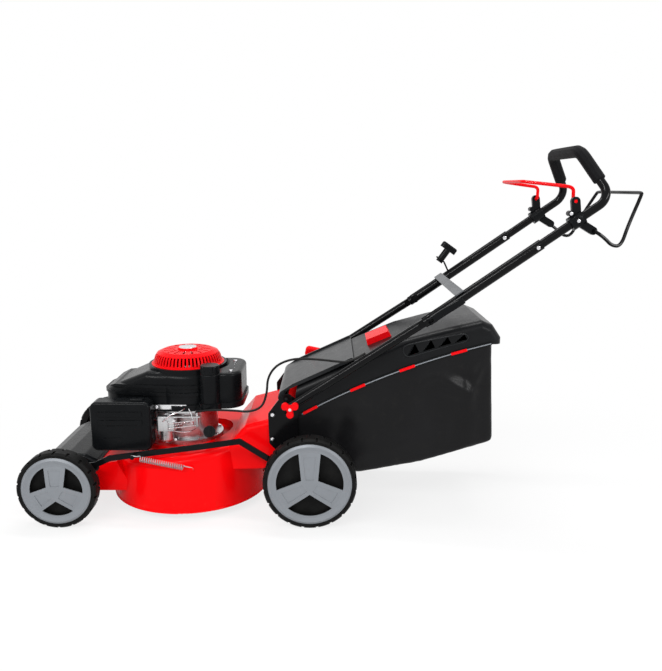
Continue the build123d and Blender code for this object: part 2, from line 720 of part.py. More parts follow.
def blade_adapter():
    """Hub that clamps the blade, with the drive pulley on it, and the blade bolt."""
    low = BLADE_Z + BLADE_T
    hub = upright(CRANK_X, 0, low, BELT_Z - BELT_H / 2, 24.0)
    hub = hub - upright(CRANK_X, 0, BLADE_Z + 8.0, BELT_Z, CRANK_R) - upright(CRANK_X, 0, 0, BELT_Z, 5.0)
    made = hub + pulley(CRANK_X, CRANK_PULLEY_R, CRANK_R)
    head = extrude(Pos(CRANK_X, 0, BLADE_Z - 8.0) * RegularPolygon(11.0, 6), 8.0)
    stud = upright(CRANK_X, 0, BLADE_Z - 2, BLADE_Z + 22.0, 5.0)
    return Compound(children=[made, head + stud])


def blade():
    """Flat bar with ground leading edges and lifted sails at its tips."""
    bar = Pos(CRANK_X, 0, BLADE_Z) * Box(
        BLADE_L, BLADE_W, BLADE_T, align=(Align.CENTER, Align.CENTER, Align.MIN)
    )
    half = BLADE_L / 2
    edge = Plane.YZ * outline(
        [(-BLADE_W, BLADE_T), (-BLADE_W / 2 + 8, BLADE_T), (-BLADE_W / 2 - 1, 0), (-BLADE_W, 0)]
    )
    bevel = extrude(edge, 90.0)
    sail = Plane.YZ * outline(
        [
            (BLADE_W / 2 - 4, 0), (BLADE_W / 2, 0), (BLADE_W / 2 + 12, 11), (BLADE_W / 2 + 9, 13),
            (BLADE_W / 2 - 4, BLADE_T)
        ]
    )
    sail = extrude(sail, 80.0)
    tips = []
    bevels = []
    for turn in (0, 180):
        place = Pos(CRANK_X, 0, BLADE_Z) * Rot(0, 0, turn)
        tips.append(place * (Pos(half - 88, 0, 0) * sail))
        bevels.append(place * (Pos(half - 89, 0, 0) * bevel))
    made = bar + tips - bevels
    return made - upright(CRANK_X, 0, 0, BELT_Z, 5.0)


# Drive to the rear wheels


BOX_PULLEY_X = REAR_PIVOT[0] - 52.0


def gearbox():
    """Gear housing hung on the drive shaft and bolted under the chute."""
    drum = cross_rod(REAR_PIVOT, -32.0, 32.0, GEARBOX_R)
    nose = block((BOX_PULLEY_X - 16, -20, REAR_PIVOT[1] - 10), (REAR_PIVOT[0], 20, REAR_PIVOT[1] + 14))
    nose = fillet(nose.edges().filter_by(Axis.Z), 8.0)
    stem = upright(BOX_PULLEY_X, 0, BELT_Z - BELT_H / 2 - 6.0, REAR_PIVOT[1], 6.0)
    lug = block((REAR_PIVOT[0] - 14, -18, REAR_PIVOT[1] + 20), (REAR_PIVOT[0] + 12, 18, TUNNEL_FLOOR + 10))
    body = drum + nose + stem + lug - tunnel(0)
    keep = block((BOX_PULLEY_X - 60, -40, 0), (REAR_PIVOT[0] + 60, 40, TUNNEL_FLOOR))
    return (body & keep) - cross_rod(REAR_PIVOT, -40, 40, SHAFT_R + RUN_GAP)


def gearbox_pulley():
    return pulley(BOX_PULLEY_X, BOX_PULLEY_R, 6.0 + RUN_GAP)


def drive_belt():
    half = BELT_W / 2
    ring = belt_outline(CRANK_X, CRANK_PULLEY_R + half, BOX_PULLEY_X, BOX_PULLEY_R + half)
    ring = ring - belt_outline(CRANK_X, CRANK_PULLEY_R - half, BOX_PULLEY_X, BOX_PULLEY_R - half)
    return extrude(Pos(0, 0, BELT_Z - BELT_H / 2) * ring, BELT_H)


def tooth_ring(teeth, tip_r, root_r, first, slack):
    """Points of a toothed outline with straight flanks."""
    step = 2 * math.pi / teeth
    at_root = step * (0.36 - slack)
    at_tip = step * (0.17 - slack / 2)
    points = []
    for index in range(teeth):
        middle = first + index * step
        for angle, radius in ((-at_root, root_r), (-at_tip, tip_r), (at_tip, tip_r), (at_root, root_r)):
            points.append((radius * math.cos(middle + angle), radius * math.sin(middle + angle)))
    return make_face(Polyline(*points, close=True))


MESH_ANGLE = math.radians(180 + CRANK_ARM_ANGLE)
PITCH_RING = GEAR_MODULE * RING_TEETH / 2
PITCH_PINION = GEAR_MODULE * PINION_TEETH / 2


def ring_hole():
    """Inside outline of the wheel's internal gear, centred on the wheel."""
    return tooth_ring(
        RING_TEETH, PITCH_RING + GEAR_MODULE, PITCH_RING - 0.8 * GEAR_MODULE, MESH_ANGLE, -0.03
    )


def pinion_face():
    return tooth_ring(
        PINION_TEETH, PITCH_PINION + 0.75 * GEAR_MODULE, PITCH_PINION - GEAR_MODULE, MESH_ANGLE, 0.07
    )


PINION_Y = WHEEL_Y - REAR_TYRE_W / 2 + 2.0


def drive_shaft():
    """Shaft on the height pivot, with a pinion inside each rear wheel."""
    end = PINION_Y + GEAR_FACE
    shaft = cross_rod(REAR_PIVOT, -end, end, SHAFT_R)
    face = Pos(*REAR_PIVOT) * pinion_face()
    pinion = across(face, PINION_Y, PINION_Y + GEAR_FACE)
    return shaft + pinion + other_side(pinion)


# Axles, linkage and wheels


def axle(pivot, wheel):
    """Left arm plate, with its lug for the link and its pin."""
    lug = (pivot[0] + LUG_DX, pivot[1] + LUG_DZ)
    arm = across(stadium(pivot, wheel, ARM_R), -ARM_Y - ARM_T, -ARM_Y)
    left = arm + across(stadium(pivot, lug, LUG_EYE_R), -ARM_Y - ARM_T, -ARM_Y)
    left = left + cross_rod(lug, -LINK_Y - LINK_T - 3.0, -ARM_Y, LINK_PIN_R)
    return left, other_side(arm)


def front_axle():
    wheel = (FRONT_X, FRONT_Z)
    left, right = axle(FRONT_PIVOT, wheel)
    bar = cross_rod(FRONT_PIVOT, -ARM_Y - ARM_T, ARM_Y + ARM_T, AXLE_R)
    end = WHEEL_Y + FRONT_TYRE_W / 2 - 6.0
    stub = cross_rod(wheel, -end, -ARM_Y, AXLE_R)
    return left + right + bar + stub + other_side(stub)


LEVER_TOP = (REAR_X + 4.0, REAR_Z + 226.0)


def rear_axle():
    """Through axle on two arms that swing on the drive shaft, with the height lever."""
    wheel = (REAR_X, REAR_Z)
    left, right = axle(REAR_PIVOT, wheel)
    end = WHEEL_Y + REAR_TYRE_W / 2 - 6.0
    bar = cross_rod(wheel, -end, end, AXLE_R)
    strip = across(stadium(wheel, LEVER_TOP, 8.0), ARM_Y, ARM_Y + 6.0)
    made = left + right + bar + strip
    return made - cross_rod(REAR_PIVOT, -WHEEL_Y, WHEEL_Y, SHAFT_R + RUN_GAP)


def height_knob():
    """Red oval grip on the height lever."""
    y = ARM_Y + 3.0
    grip = Pos(LEVER_TOP[0], y + 11.0, LEVER_TOP[1] + 12.0) * Rot(0, 12, 0) * Box(60.0, 24.0, 34.0)
    grip = fillet(grip.edges(), 11.0)
    return grip - across(stadium((REAR_X, REAR_Z), LEVER_TOP, 8.0), ARM_Y, ARM_Y + 6.0)


LINK_POINTS_X = (-137.5, -99.5, 135.5, 239.5, 301.5)
LINK_POINTS_Z = (150.0, 168.0, 199.0, 214.0, 174.0)


def height_link_bar():
    """Flat bar that makes both axles swing together; its eyes are upright slots."""
    front = (FRONT_PIVOT[0] + LUG_DX, FRONT_PIVOT[1] + LUG_DZ + LINK_DROP / 2)
    rear = (REAR_PIVOT[0] + LUG_DX, REAR_PIVOT[1] + LUG_DZ + LINK_DROP / 2)
    bends = [(CRANK_X + dx - 75.0, z) for dx, z in zip(LINK_POINTS_X, LINK_POINTS_Z)]
    route = [front] + bends + [rear]
    bar = Sketch()
    for start, end in zip(route[:-1], route[1:]):
        bar = bar + stadium(start, end, LINK_H / 2)
    eye_r = LUG_EYE_R + LINK_DROP / 2
    bar = bar + Pos(*front) * Circle(eye_r) + Pos(*rear) * Circle(eye_r)
    slot_r = LINK_PIN_R + 0.6
    for eye in (front, rear):
        low = (eye[0], eye[1] - LINK_DROP / 2)
        high = (eye[0], eye[1] + LINK_DROP / 2)
        bar = bar - stadium(low, high, slot_r)
    plate = across(bar, -LINK_Y - LINK_T, -LINK_Y)
    return plate + spring_stud(SPRING_FRONT, -LINK_Y)


def lugs(radius, width, count):
    """Gaps between the tread blocks, staggered on the two shoulders."""
    gaps = []
    gap = Pos(radius, 0, 0) * Box(2 * TREAD_DEPTH, width / 2 - 3.0, TREAD_GAP)
    for step in range(count):
        turn = 360.0 / count
        gaps.append(Rot(0, step * turn, 0) * (Pos(0, width / 4 + 2.0, 0) * gap))
        gaps.append(Rot(0, (step + 0.5) * turn, 0) * (Pos(0, -width / 4 - 2.0, 0) * gap))
    return gaps


def wheel_section(radius, width):
    """Half section of the black wheel moulding: tread band, web and hub."""
    half = width / 2
    cap_r = radius - CAP_MARGIN
    band = radius - TYRE_BAND
    return [
        (AXLE_R + RUN_GAP, -half - 8.0), (HUB_R, -half - 8.0), (HUB_R, half - WHEEL_WEB - 16.0),
        (band, half - WHEEL_WEB - 16.0),
        (band, -half), (radius - 4.0, -half), (radius, -half + 5.0), (radius, half - 5.0),
        (radius - 4.0, half),
        (cap_r, half), (cap_r, half - 10.0), (band, half - 16.0), (HUB_R, half - 16.0), (HUB_R, half - 5.0),
        (AXLE_R + RUN_GAP, half - 5.0),
    ]


def wheel(radius, width, count, geared):
    """Wheel centred on the origin, outer face towards -Y."""
    points = [(r, -y) for r, y in wheel_section(radius, width)]
    body = revolve(Plane.XY * outline(points), Axis.Y)
    if geared:
        inner = width / 2
        collar = across(Circle(PITCH_RING + GEAR_MODULE + 6.0), -inner + 22.0, inner)
        body = body + (collar - across(ring_hole(), -inner - 1, inner + 1))
    return body - lugs(radius, width, count)


def hub_cap(radius, width):
    """Grey cover: a dished ring and three broad spokes."""
    half = width / 2
    rim = radius - CAP_MARGIN - SKIN_GAP
    inner = rim - CAP_RING
    seat = half - 10.0
    top = half + CAP_CROWN
    wall = CAP_WALL
    section = [
        (0, top), (26, top), (inner - 4, half - 3.0), (inner + 3, half - 2.0), (rim - 7, half + 2.0),
        (rim - 1, half - 1.0), (rim, half - 4.0),
        (rim, seat), (rim - wall, seat), (rim - wall, half - 5.0), (rim - 8, half + 2.0 - wall),
        (inner + 3, half - 2.0 - wall),
        (inner - 4, half - 3.0 - wall), (26, top - wall), (0, top - wall),
    ]
    points = [(r, -y) for r, y in section]
    cap = revolve(Plane.XY * outline(points), Axis.Y)
    windows = Circle(inner - 2) - Circle(24.0)
    recess = Sketch()
    for turn in (90, 210, 330):
        spoke = outline(
            [(0, -SPOKE_W / 2), (inner + 4, -SPOKE_TIP_W / 2), (inner + 4, SPOKE_TIP_W / 2), (0, SPOKE_W / 2)]
        )
        windows = windows - Rot(0, 0, turn) * spoke
        panel = outline(
            [(14, -SPOKE_W / 2 + 9), (inner - 14, -SPOKE_TIP_W / 2 + 12), (inner - 14, SPOKE_TIP_W / 2 - 12), (14, SPOKE_W / 2 - 9)]
        )
        recess = recess + Rot(0, 0, turn) * panel
    cap = cap - across(windows, -top - 1, top + 1)
    dish = revolve(
        Plane.XY * outline(
            [(0, -top - 4), (26, -top - 4), (inner - 4, -half + 1), (inner - 4, -half + 4.5), (26, -top + 1.5), (0, -top + 1.5)]
        ),
        Axis.Y,
    )
    return cap - (dish & across(recess, -top - 5, top + 5))


WHEELS = {
    "front": (FRONT_TYRE_D / 2, FRONT_TYRE_W, FRONT_LUGS, False, FRONT_X),
    "rear": (REAR_TYRE_D / 2, REAR_TYRE_W, REAR_LUGS, True, REAR_X),
}


# Handle


def bracket():
    """Left side plate that carries the handle, the flap and the drive shaft."""
    x, z = KNOB_PIVOT
    low = REAR_PIVOT
    points = [
        (x - 60, z - 24), (x - 26, z + 22), (x - 16, z + 29), (x - 4, z + 29), (x + 14, z + 14),
        (x + 20, z - 8),
        (x + 16, low[1] + 60), (low[0] + 18, low[1] - 18), (low[0] - 18, low[1] - 18),
        (low[0] - 24, low[1] + 66), (x - 58, z - 106),
    ]
    plate = across(outline(points, 7.0), -BRACKET_Y, -TUNNEL_Y)
    spacer = cross_rod(KNOB_PIVOT, -TUBE_Y + TUBE_R + SKIN_GAP, -TUNNEL_Y, 14.0)
    heads = [
        cross_rod(place, -BRACKET_Y - 4.5, -TUNNEL_Y, 7.0) for place in ((x - 49, z - 93), (x - 48, z - 26))
    ]
    plate = plate + spacer + heads
    plate = plate - cross_rod(KNOB_PIVOT, -WHEEL_Y, 0, BOLT_R + RUN_GAP)
    plate = plate - cross_rod(FLAP_PIVOT, -WHEEL_Y, 0, BOLT_R + RUN_GAP)
    return plate - cross_rod(REAR_PIVOT, -WHEEL_Y, 0, SHAFT_R + RUN_GAP)


def at_tube(place):
    return (place[0], -TUBE_Y, place[1])


def lower_tube():
    """Left lower tube, flattened to a tongue at the fold."""
    start = along(LOWER_DIR, KNOB_PIVOT, -20.0)
    root = along(LOWER_DIR, FOLD_PIVOT, -32.0)
    pipe = rod(at_tube(start), at_tube(root), TUBE_R)
    pipe = pipe - rod(at_tube(start), at_tube(root), TUBE_R - TUBE_WALL)
    tongue_root = along(LOWER_DIR, FOLD_PIVOT, -44.0)
    tongue = across(
        stadium(tongue_root, FOLD_PIVOT, TUBE_R - 0.5), -TUBE_Y - TONGUE_T / 2, -TUBE_Y + TONGUE_T / 2,
    )
    made = pipe + tongue
    made = made - cross_rod(FOLD_PIVOT, -TUBE_Y - 20, -TUBE_Y + 20, BOLT_R + RUN_GAP)
    return made - cross_rod(KNOB_PIVOT, -TUBE_Y - 20, -TUBE_Y + 20, BOLT_R + RUN_GAP)


def mid_tube():
    """Left sleeve tube, forked over the tongue, with the fold bolt and its cross pin."""
    start = along(UPPER_DIR, FOLD_PIVOT, -18.0)
    end = along(UPPER_DIR, FOLD_PIVOT, SLEEVE_LENGTH)
    pipe = rod(at_tube(start), at_tube(end), SLEEVE_R)
    pipe = pipe - rod(at_tube(start), at_tube(end), TUBE_R + RUN_GAP)
    slot_end = along(UPPER_DIR, FOLD_PIVOT, 26.0)
    slot_start = along(UPPER_DIR, FOLD_PIVOT, -40.0)
    half = TONGUE_T / 2 + SKIN_GAP
    pipe = pipe - across(stadium(slot_start, slot_end, SLEEVE_R + 2), -TUBE_Y - half, -TUBE_Y + half)
    cheek = across(Pos(*FOLD_PIVOT) * Circle(SLEEVE_R - 1.5), -TUBE_Y - SLEEVE_R, -TUBE_Y - half)
    cheeks = cheek + across(Pos(*FOLD_PIVOT) * Circle(SLEEVE_R - 1.5), -TUBE_Y + half, -TUBE_Y + SLEEVE_R)
    bolt = cross_rod(FOLD_PIVOT, -CAM_Y, -TUBE_Y + SLEEVE_R + 5.0, BOLT_R)
    head = cross_rod(FOLD_PIVOT, -TUBE_Y + SLEEVE_R, -TUBE_Y + SLEEVE_R + 6.0, 8.0)
    low = along(UPPER_DIR, FOLD_PIVOT, 0.0, -9.0)
    high = along(UPPER_DIR, FOLD_PIVOT, 0.0, 9.0)
    pin = rod((low[0], -CAM_Y, low[1]), (high[0], -CAM_Y, high[1]), 2.5)
    joint = along(UPPER_DIR, FOLD_PIVOT, SLEEVE_LENGTH - 14.0)
    screw = cross_rod(joint, -TUBE_Y - SLEEVE_R - 3.5, -TUBE_Y - TUBE_R, 5.0)
    return pipe + cheeks + bolt + head + pin + screw


CAM_R = 8.0
CAM_Y = TUBE_Y + SLEEVE_R + CAM_R + SKIN_GAP


def cam_lever():
    """Quick-release lever: a forked cam on the bolt's cross pin, and a tapering finger."""
    normal = (-UPPER_DIR[1], 0, UPPER_DIR[0])
    centre = Vector(FOLD_PIVOT[0], -CAM_Y, FOLD_PIVOT[1])
    frame = Plane(origin=centre, x_dir=(UPPER_DIR[0], 0, UPPER_DIR[1]), z_dir=normal)
    finger = outline(
        [(0, -6.0), (30, -4.0), (CAM_LENGTH, 5.5), (CAM_LENGTH + 4, 12.0), (CAM_LENGTH - 6, 12.5), (30, 5.0), (0, 7.5)],
        2.0
    )
    face = Circle(CAM_R) + mirror(finger, about=Plane.XZ)
    body = extrude(frame * face, 9.0, both=True)
    taper = across(
        outline([
            along(UPPER_DIR, FOLD_PIVOT, 20, 10), along(UPPER_DIR, FOLD_PIVOT, CAM_LENGTH + 10, 5),
            along(UPPER_DIR, FOLD_PIVOT, CAM_LENGTH + 10, 30), along(UPPER_DIR, FOLD_PIVOT, 20, 30)]),
        -CAM_Y - 30, -CAM_Y + 30,
    )
    slot = extrude(
        frame * (Circle(CAM_R + 1.0) + Pos(-8, 0) * Rectangle(16, 40)), BOLT_R + SKIN_GAP, both=True,
    )
    bore = extrude(frame * Circle(2.5 + RUN_GAP), 12.0, both=True)
    return body - taper - slot - bore


def wing_knob():
    """Three-lobed red hand nut on its stud."""
    face = -TUBE_Y - TUBE_R - SKIN_GAP
    sketch = Circle(9.0)
    for turn in (30, 150, 270):
        sketch = sketch + Rot(0, 0, turn) * (Pos(14.5, 0) * Circle(9.5))
    lobes = across(Pos(*KNOB_PIVOT) * sketch, face - 15.0, face - 4.0)
    lobes = fillet(lobes.faces().sort_by(Axis.Y)[0].edges(), 2.0)
    hub = cross_rod(KNOB_PIVOT, face - 12.0, face, 9.5)
    stud = cross_rod(KNOB_PIVOT, face - 4.0, -TUNNEL_Y - SKIN_GAP, BOLT_R)
    return lobes + hub + stud


def cross_brace():
    """Flat grey strip across the two sleeve tubes."""
    reach = TUBE_Y + SLEEVE_R
    low = along(UPPER_DIR, FOLD_PIVOT, 84.0, SLEEVE_R)
    high = along(UPPER_DIR, FOLD_PIVOT, 108.0, SLEEVE_R)
    top_high = along(UPPER_DIR, FOLD_PIVOT, 108.0, SLEEVE_R + 3.0)
    top_low = along(UPPER_DIR, FOLD_PIVOT, 84.0, SLEEVE_R + 3.0)
    return across(outline([low, high, top_high, top_low]), -reach, reach)


BEND = along(UPPER_DIR, FOLD_PIVOT, UPPER_REACH)
CORNER = (BEND[0] - LOOP_LEAN, -TUBE_Y + LOOP_INSET, BEND[1] + LOOP_RISE)


def right_of(point):
    return (point[0], -point[1], point[2])


def top_loop():
    """Bent upper handle tube."""
    start = at_tube(along(UPPER_DIR, FOLD_PIVOT, SLEEVE_LENGTH - 60.0))
    bend = at_tube(BEND)
    points = [start, bend, CORNER, right_of(CORNER), right_of(bend), right_of(start)]
    return bent_rod(points, [38.0, LOOP_BEND, LOOP_BEND, 38.0], TUBE_R, TUBE_R - TUBE_WALL)


def foam_grip():
    """Foam sleeve over the top of the loop."""
    bend = Vector(*at_tube(BEND))
    start = bend + (Vector(*CORNER) - bend) * 0.36
    start = (start.X, start.Y, start.Z)
    points = [start, CORNER, right_of(CORNER), right_of(start)]
    return bent_rod(points, [LOOP_BEND, LOOP_BEND], GRIP_R, TUBE_R + SKIN_GAP)


CLAMP_PLACE = along(UPPER_DIR, FOLD_PIVOT, CLAMP_AT)
BRAKE_PIVOT = along(UPPER_DIR, FOLD_PIVOT, CLAMP_AT + BRAKE_EAR[0], BRAKE_EAR[1])
DRIVE_PIVOT = along(UPPER_DIR, FOLD_PIVOT, CLAMP_AT + DRIVE_EAR[0], DRIVE_EAR[1])


def clamp():
    """Left control clamp: a split collar, an ear for each bail and a screw."""
    low = along(UPPER_DIR, FOLD_PIVOT, CLAMP_AT - 18.0)
    high = along(UPPER_DIR, FOLD_PIVOT, CLAMP_AT + 18.0)
    collar = rod(at_tube(low), at_tube(high), TUBE_R + 7.0)
    ears = across(stadium(CLAMP_PLACE, BRAKE_PIVOT, 11.0), -TUBE_Y - 6.0, -TUBE_Y + 6.0)
    ears = ears + across(stadium(CLAMP_PLACE, DRIVE_PIVOT, 10.0), -TUBE_Y - 6.0, -TUBE_Y + 6.0)
    screw = along(UPPER_DIR, FOLD_PIVOT, CLAMP_AT - 4.0, 24.0)
    boss = cross_rod(screw, -TUBE_Y - 10.0, -TUBE_Y + 10.0, 7.0)
    made = collar + ears + boss
    made = made - rod(
        at_tube(along(UPPER_DIR, FOLD_PIVOT, CLAMP_AT - 40)),
        at_tube(along(UPPER_DIR, FOLD_PIVOT, CLAMP_AT + 40)), TUBE_R + RUN_GAP,
    )
    made = made - cross_rod(BRAKE_PIVOT, -TUBE_Y - 20, -TUBE_Y + 20, BAIL_R + RUN_GAP)
    return made - cross_rod(DRIVE_PIVOT, -TUBE_Y - 20, -TUBE_Y + 20, BAIL_R + RUN_GAP)


def brake_bail():
    """Red bail that keeps the engine running while it is held to the grip."""
    x, z = BRAKE_PIVOT
    inner = TUBE_Y - 16.0
    left = [
        (x, -TUBE_Y - 5.0, z), (x, -inner, z), (x - 26.0, -inner + 6.0, z + 32.0),
        (x - 114.0, -TUBE_Y + 66.0, z + 48.0),
    ]
    points = left + [right_of(point) for point in reversed(left)]
    return bent_rod(points, [9.0, 20.0, 30.0, 30.0, 20.0, 9.0], BAIL_R)


def drive_bail():
    """Black bail that engages the wheel drive."""
    x, z = DRIVE_PIVOT
    outer = TUBE_Y + 17.0
    reach = x + BAIL_REACH
    left = [
        (x, -TUBE_Y + 5.0, z), (x, -outer, z), (x + 44.0, -outer, z - 26.0),
        (reach, -TUBE_Y + 22.0, z + 92.0),
    ]
    points = left + [right_of(point) for point in reversed(left)]
    return bent_rod(points, [9.0, 22.0, 26.0, 26.0, 22.0, 9.0], BAIL_R)


GUIDE_AT = 128.0
GUIDE_RING = 13.0
GUIDE_STEM = 26.0
GUIDE_WIRE = 2.5


def rope_guide():
    """Wire eye on the right sleeve tube, where the starter rope is parked."""
    foot = along(UPPER_DIR, FOLD_PIVOT, GUIDE_AT, SLEEVE_R)
    eye = along(UPPER_DIR, FOLD_PIVOT, GUIDE_AT, SLEEVE_R + GUIDE_STEM + GUIDE_RING)
    ring_plane = Plane(origin=(eye[0], TUBE_Y, eye[1]), z_dir=(PULL_DIR[0], 0, PULL_DIR[1]))
    ring = ring_plane * Torus(GUIDE_RING, GUIDE_WIRE)
    stem_end = along(PULL_DIR, eye, 0.0, -GUIDE_RING)
    stem = rod((foot[0], TUBE_Y, foot[1]), (stem_end[0], TUBE_Y, stem_end[1]), GUIDE_WIRE)
    return ring + stem


def starter_grip():
    """Moulded pull handle parked in the rope guide."""
    eye = along(UPPER_DIR, FOLD_PIVOT, GUIDE_AT, SLEEVE_R + GUIDE_STEM + GUIDE_RING)
    pull = Vector(PULL_DIR[0], 0, PULL_DIR[1])
    origin = Vector(eye[0], TUBE_Y, eye[1])
    stem = rod(origin - pull * 8.0, origin + pull * 34.0, GUIDE_RING - GUIDE_WIRE - SKIN_GAP)
    frame = Plane(origin=origin + pull * 42.0, x_dir=(-PULL_DIR[1], 0, PULL_DIR[0]), z_dir=pull)
    bar = extrude(frame * RectangleRounded(50.0, 22.0, 10.0), 9.0, both=True)
    bar = fillet(bar.faces().sort_by(Axis((0, 0, 0), pull))[-1].edges(), 5.0)
    return stem + bar


# Bag and rear flap


BAG_MOUTH = TUNNEL_END + SKIN_GAP
SEAM_FRONT = (BAG_MOUTH, TUNNEL_FLOOR + 111.0)
SEAM_R = (SEAM_CHORD**2 / 4 + SEAM_BOW**2) / (2 * SEAM_BOW)
SEAM_START = math.radians(90.0 + SEAM_SLOPE) + math.asin(SEAM_CHORD / 2 / SEAM_R)
SEAM_CENTRE = (
    SEAM_FRONT[0] - SEAM_R * math.cos(SEAM_START),
    SEAM_FRONT[1] - SEAM_R * math.sin(SEAM_START),
)
SEAM_LENGTH = 2 * SEAM_R * math.asin(SEAM_CHORD / 2 / SEAM_R)
FLAP_START = along(FLAP_DIR, FLAP_PIVOT, 0.0, FLAP_HOOD_R - FLAP_T)
FLAP_END = along(FLAP_DIR, FLAP_START, FLAP_L)


def seam(run, height=0.0):
    """A place on the bowed seam of the bag, and its height above the seam."""
    angle = SEAM_START - run / SEAM_R
    return (
        SEAM_CENTRE[0] + (SEAM_R + height) * math.cos(angle),
        SEAM_CENTRE[1] + (SEAM_R + height) * math.sin(angle),
    )


SEAM_REAR = seam(SEAM_LENGTH)
LID_CROWN_X = FLAP_END[0] + 36.0
LID_RIDGE = ((89.0, 37.0), (180.0, 61.5), (295.0, 88.0), (324.0, 76.0))
LID_LIP = 23.5


def seam_arc(start, end, height):
    return ThreePointArc(seam(start, height), seam((start + end) / 2, height), seam(end, height))


def seam_band(low, high, start=LID_WALL):
    """A band along the seam, between two heights above it."""
    end = SEAM_LENGTH - LID_WALL
    return make_face([
        seam_arc(start, end, low),
        Line(seam(end, low), seam(end, high)),
        seam_arc(end, start, high),
        Line(seam(start, high), seam(start, low)),
    ])


def seam_edge(edge):
    """True for an edge that lies on the seam between lid and fabric."""
    middle = edge.center()
    run = edge % 0.5
    off = math.hypot(middle.X - SEAM_CENTRE[0], middle.Z - SEAM_CENTRE[1]) - SEAM_R
    return abs(off) < 2 * LID_WALL and abs(run.X) > abs(run.Z)


def rear_flap():
    """Discharge flap lying on the bag, rolled round its hinge pins at the front."""
    half = TUNNEL_Y - 8.0
    end_top = along(FLAP_DIR, FLAP_END, 0.0, FLAP_T)
    start_top = along(FLAP_DIR, FLAP_START, 0.0, FLAP_T)
    panel = across(outline([FLAP_START, FLAP_END, end_top, start_top]), -half, half)
    centre = Pos(*FLAP_PIVOT)
    low_end = along(FLAP_DIR, FLAP_PIVOT, -2 * FLAP_HOOD_R, -2 * FLAP_HOOD_R)
    front = outline([
        FLAP_PIVOT,
        along(FLAP_DIR, FLAP_PIVOT, 0.0, 2 * FLAP_HOOD_R),
        along(FLAP_DIR, FLAP_PIVOT, -2 * FLAP_HOOD_R, 2 * FLAP_HOOD_R),
        low_end,
    ])
    disc = centre * Circle(FLAP_HOOD_R)
    hood = across((disc - centre * Circle(FLAP_HOOD_R - FLAP_T)) & front, -half, half)
    ears = [
        across((disc & front) + centre * Circle(7.0), y - 2.5, y + 2.5)
        for y in (-half + 2.5, 0.0, half - 2.5)
    ]
    pins = cross_rod(FLAP_PIVOT, -BRACKET_Y + 0.5, BRACKET_Y - 0.5, BOLT_R)
    rib_end = along(FLAP_DIR, end_top, -4.0, 5.0)
    rib_start = along(FLAP_DIR, start_top, 30.0, 5.0)
    rib_face = outline([start_top, end_top, rib_end, rib_start])
    ribs = [across(rib_face, y - 3.0, y + 3.0) for y in (-half + 3.0, half - 3.0)]
    return panel + hood + ears + pins + ribs


def lid_top(x):
    """Height of the lid under the flap, at a place along the machine."""
    drop = FLAP_REST / FLAP_DIR[0]
    return FLAP_START[1] - drop + (x - FLAP_START[0]) * FLAP_DIR[1] / FLAP_DIR[0]


def bag_profile():
    """Side outline of the hard lid."""
    brow = BAG_MOUTH + 12.0
    crown = (LID_CROWN_X, lid_top(LID_CROWN_X))
    lip = SEAM_REAR[0] + LID_LIP
    top = [
        SEAM_FRONT,
        (BAG_MOUTH, TUNNEL_TOP + 4.0),
        (brow, lid_top(brow)),
        crown,
        *[(crown[0] + dx, crown[1] + dz) for dx, dz in LID_RIDGE],
        (lip, SEAM_REAR[1] + 15.0),
        (lip, SEAM_REAR[1] - 1.0),
        SEAM_REAR,
    ]
    return make_face([Polyline(*top), seam_arc(SEAM_LENGTH, 0.0, 0.0)])


def lid_form(inset):
    """The lid as a full form, or its inside, with rounded upper edges."""
    face = bag_profile()
    if inset:
        face = offset(face, amount=-inset, kind=Kind.INTERSECTION)
    half = BAG_W / 2 - inset
    form = across(face, -half, half)
    crest = [e for e in form.edges() if abs(abs(e.center().Y) - half) < 1e-3 and not seam_edge(e)]
    crest = [e for e in crest if e.center().X > BAG_MOUTH + 8.0 + inset]
    return fillet(crest, LID_ROUND - inset)


def louvres(half):
    """Sunk panel with four slanting openings on each side of the lid."""
    first, cell, foot = 336.0, 42.0, 29.0
    last = first + 4 * cell
    panel = outline(
        [seam(first, foot), seam(last, foot - 5.0), seam(last, foot + 16.0), seam(first, foot + 34.0)]
    )
    cuts = [across(panel, -half - 1.0, -half + 1.2)]
    for step in range(4):
        start = first + cell * step
        tall = 28.0 - 4.0 * step
        low = foot + 3.0 - 1.2 * step
        opening = outline(
            [seam(start + 4, low), seam(start + cell - 4, low), seam(start + cell - 8, low + tall)]
        )
        cuts.append(across(opening, -half - 1.0, -half + 2 * LID_WALL))
    return cuts + [other_side(piece) for piece in cuts]


def bag_lid():
    """Hard top of the bag: a domed cover with louvres and a lip for the fabric."""
    half = BAG_W / 2
    inner = half - LID_WALL
    open_low = across(seam_band(-4.0, 2 * LID_WALL), -inner, inner)
    lip = across(seam_band(0.0, 7.0, LIP_START), -half - 4.0, half + 4.0)
    lip = lip - across(seam_band(-1.0, 8.0), -half, half)
    return lid_form(0) + lip - lid_form(LID_WALL) - open_low - louvres(half)


def mouth_block():
    """The way in from the chute."""
    wide = TUNNEL_Y - 28.0
    return block((BAG_MOUTH - 1, -wide, TUNNEL_FLOOR + 22.0), (BAG_MOUTH + 12, wide, TUNNEL_TOP - 22.0))


def fabric_form(inset):
    """The fabric body, or its inside, with soft edges."""
    below = [
        SEAM_REAR,
        (SEAM_REAR[0] + 15.0, TUNNEL_FLOOR + 47.0),
        (REAR_X + 294.0, REAR_Z + 13.0),
        (REAR_X + 124.0, REAR_Z - 18.5),
        (REAR_X + 20.0, REAR_Z + 16.0),
        (BAG_MOUTH, TUNNEL_FLOOR + 12.0),
        SEAM_FRONT,
    ]
    face = make_face([seam_arc(0.0, SEAM_LENGTH, 0.0), Polyline(*below)])
    if inset:
        face = offset(face, amount=-inset, kind=Kind.INTERSECTION)
    half = BAG_W / 2 - inset
    body = across(face, -half, half)
    soft = [e for e in body.edges() if abs(abs(e.center().Y) - half) < 1e-3 and not seam_edge(e)]
    return fillet(soft, BAG_SOFT - inset)


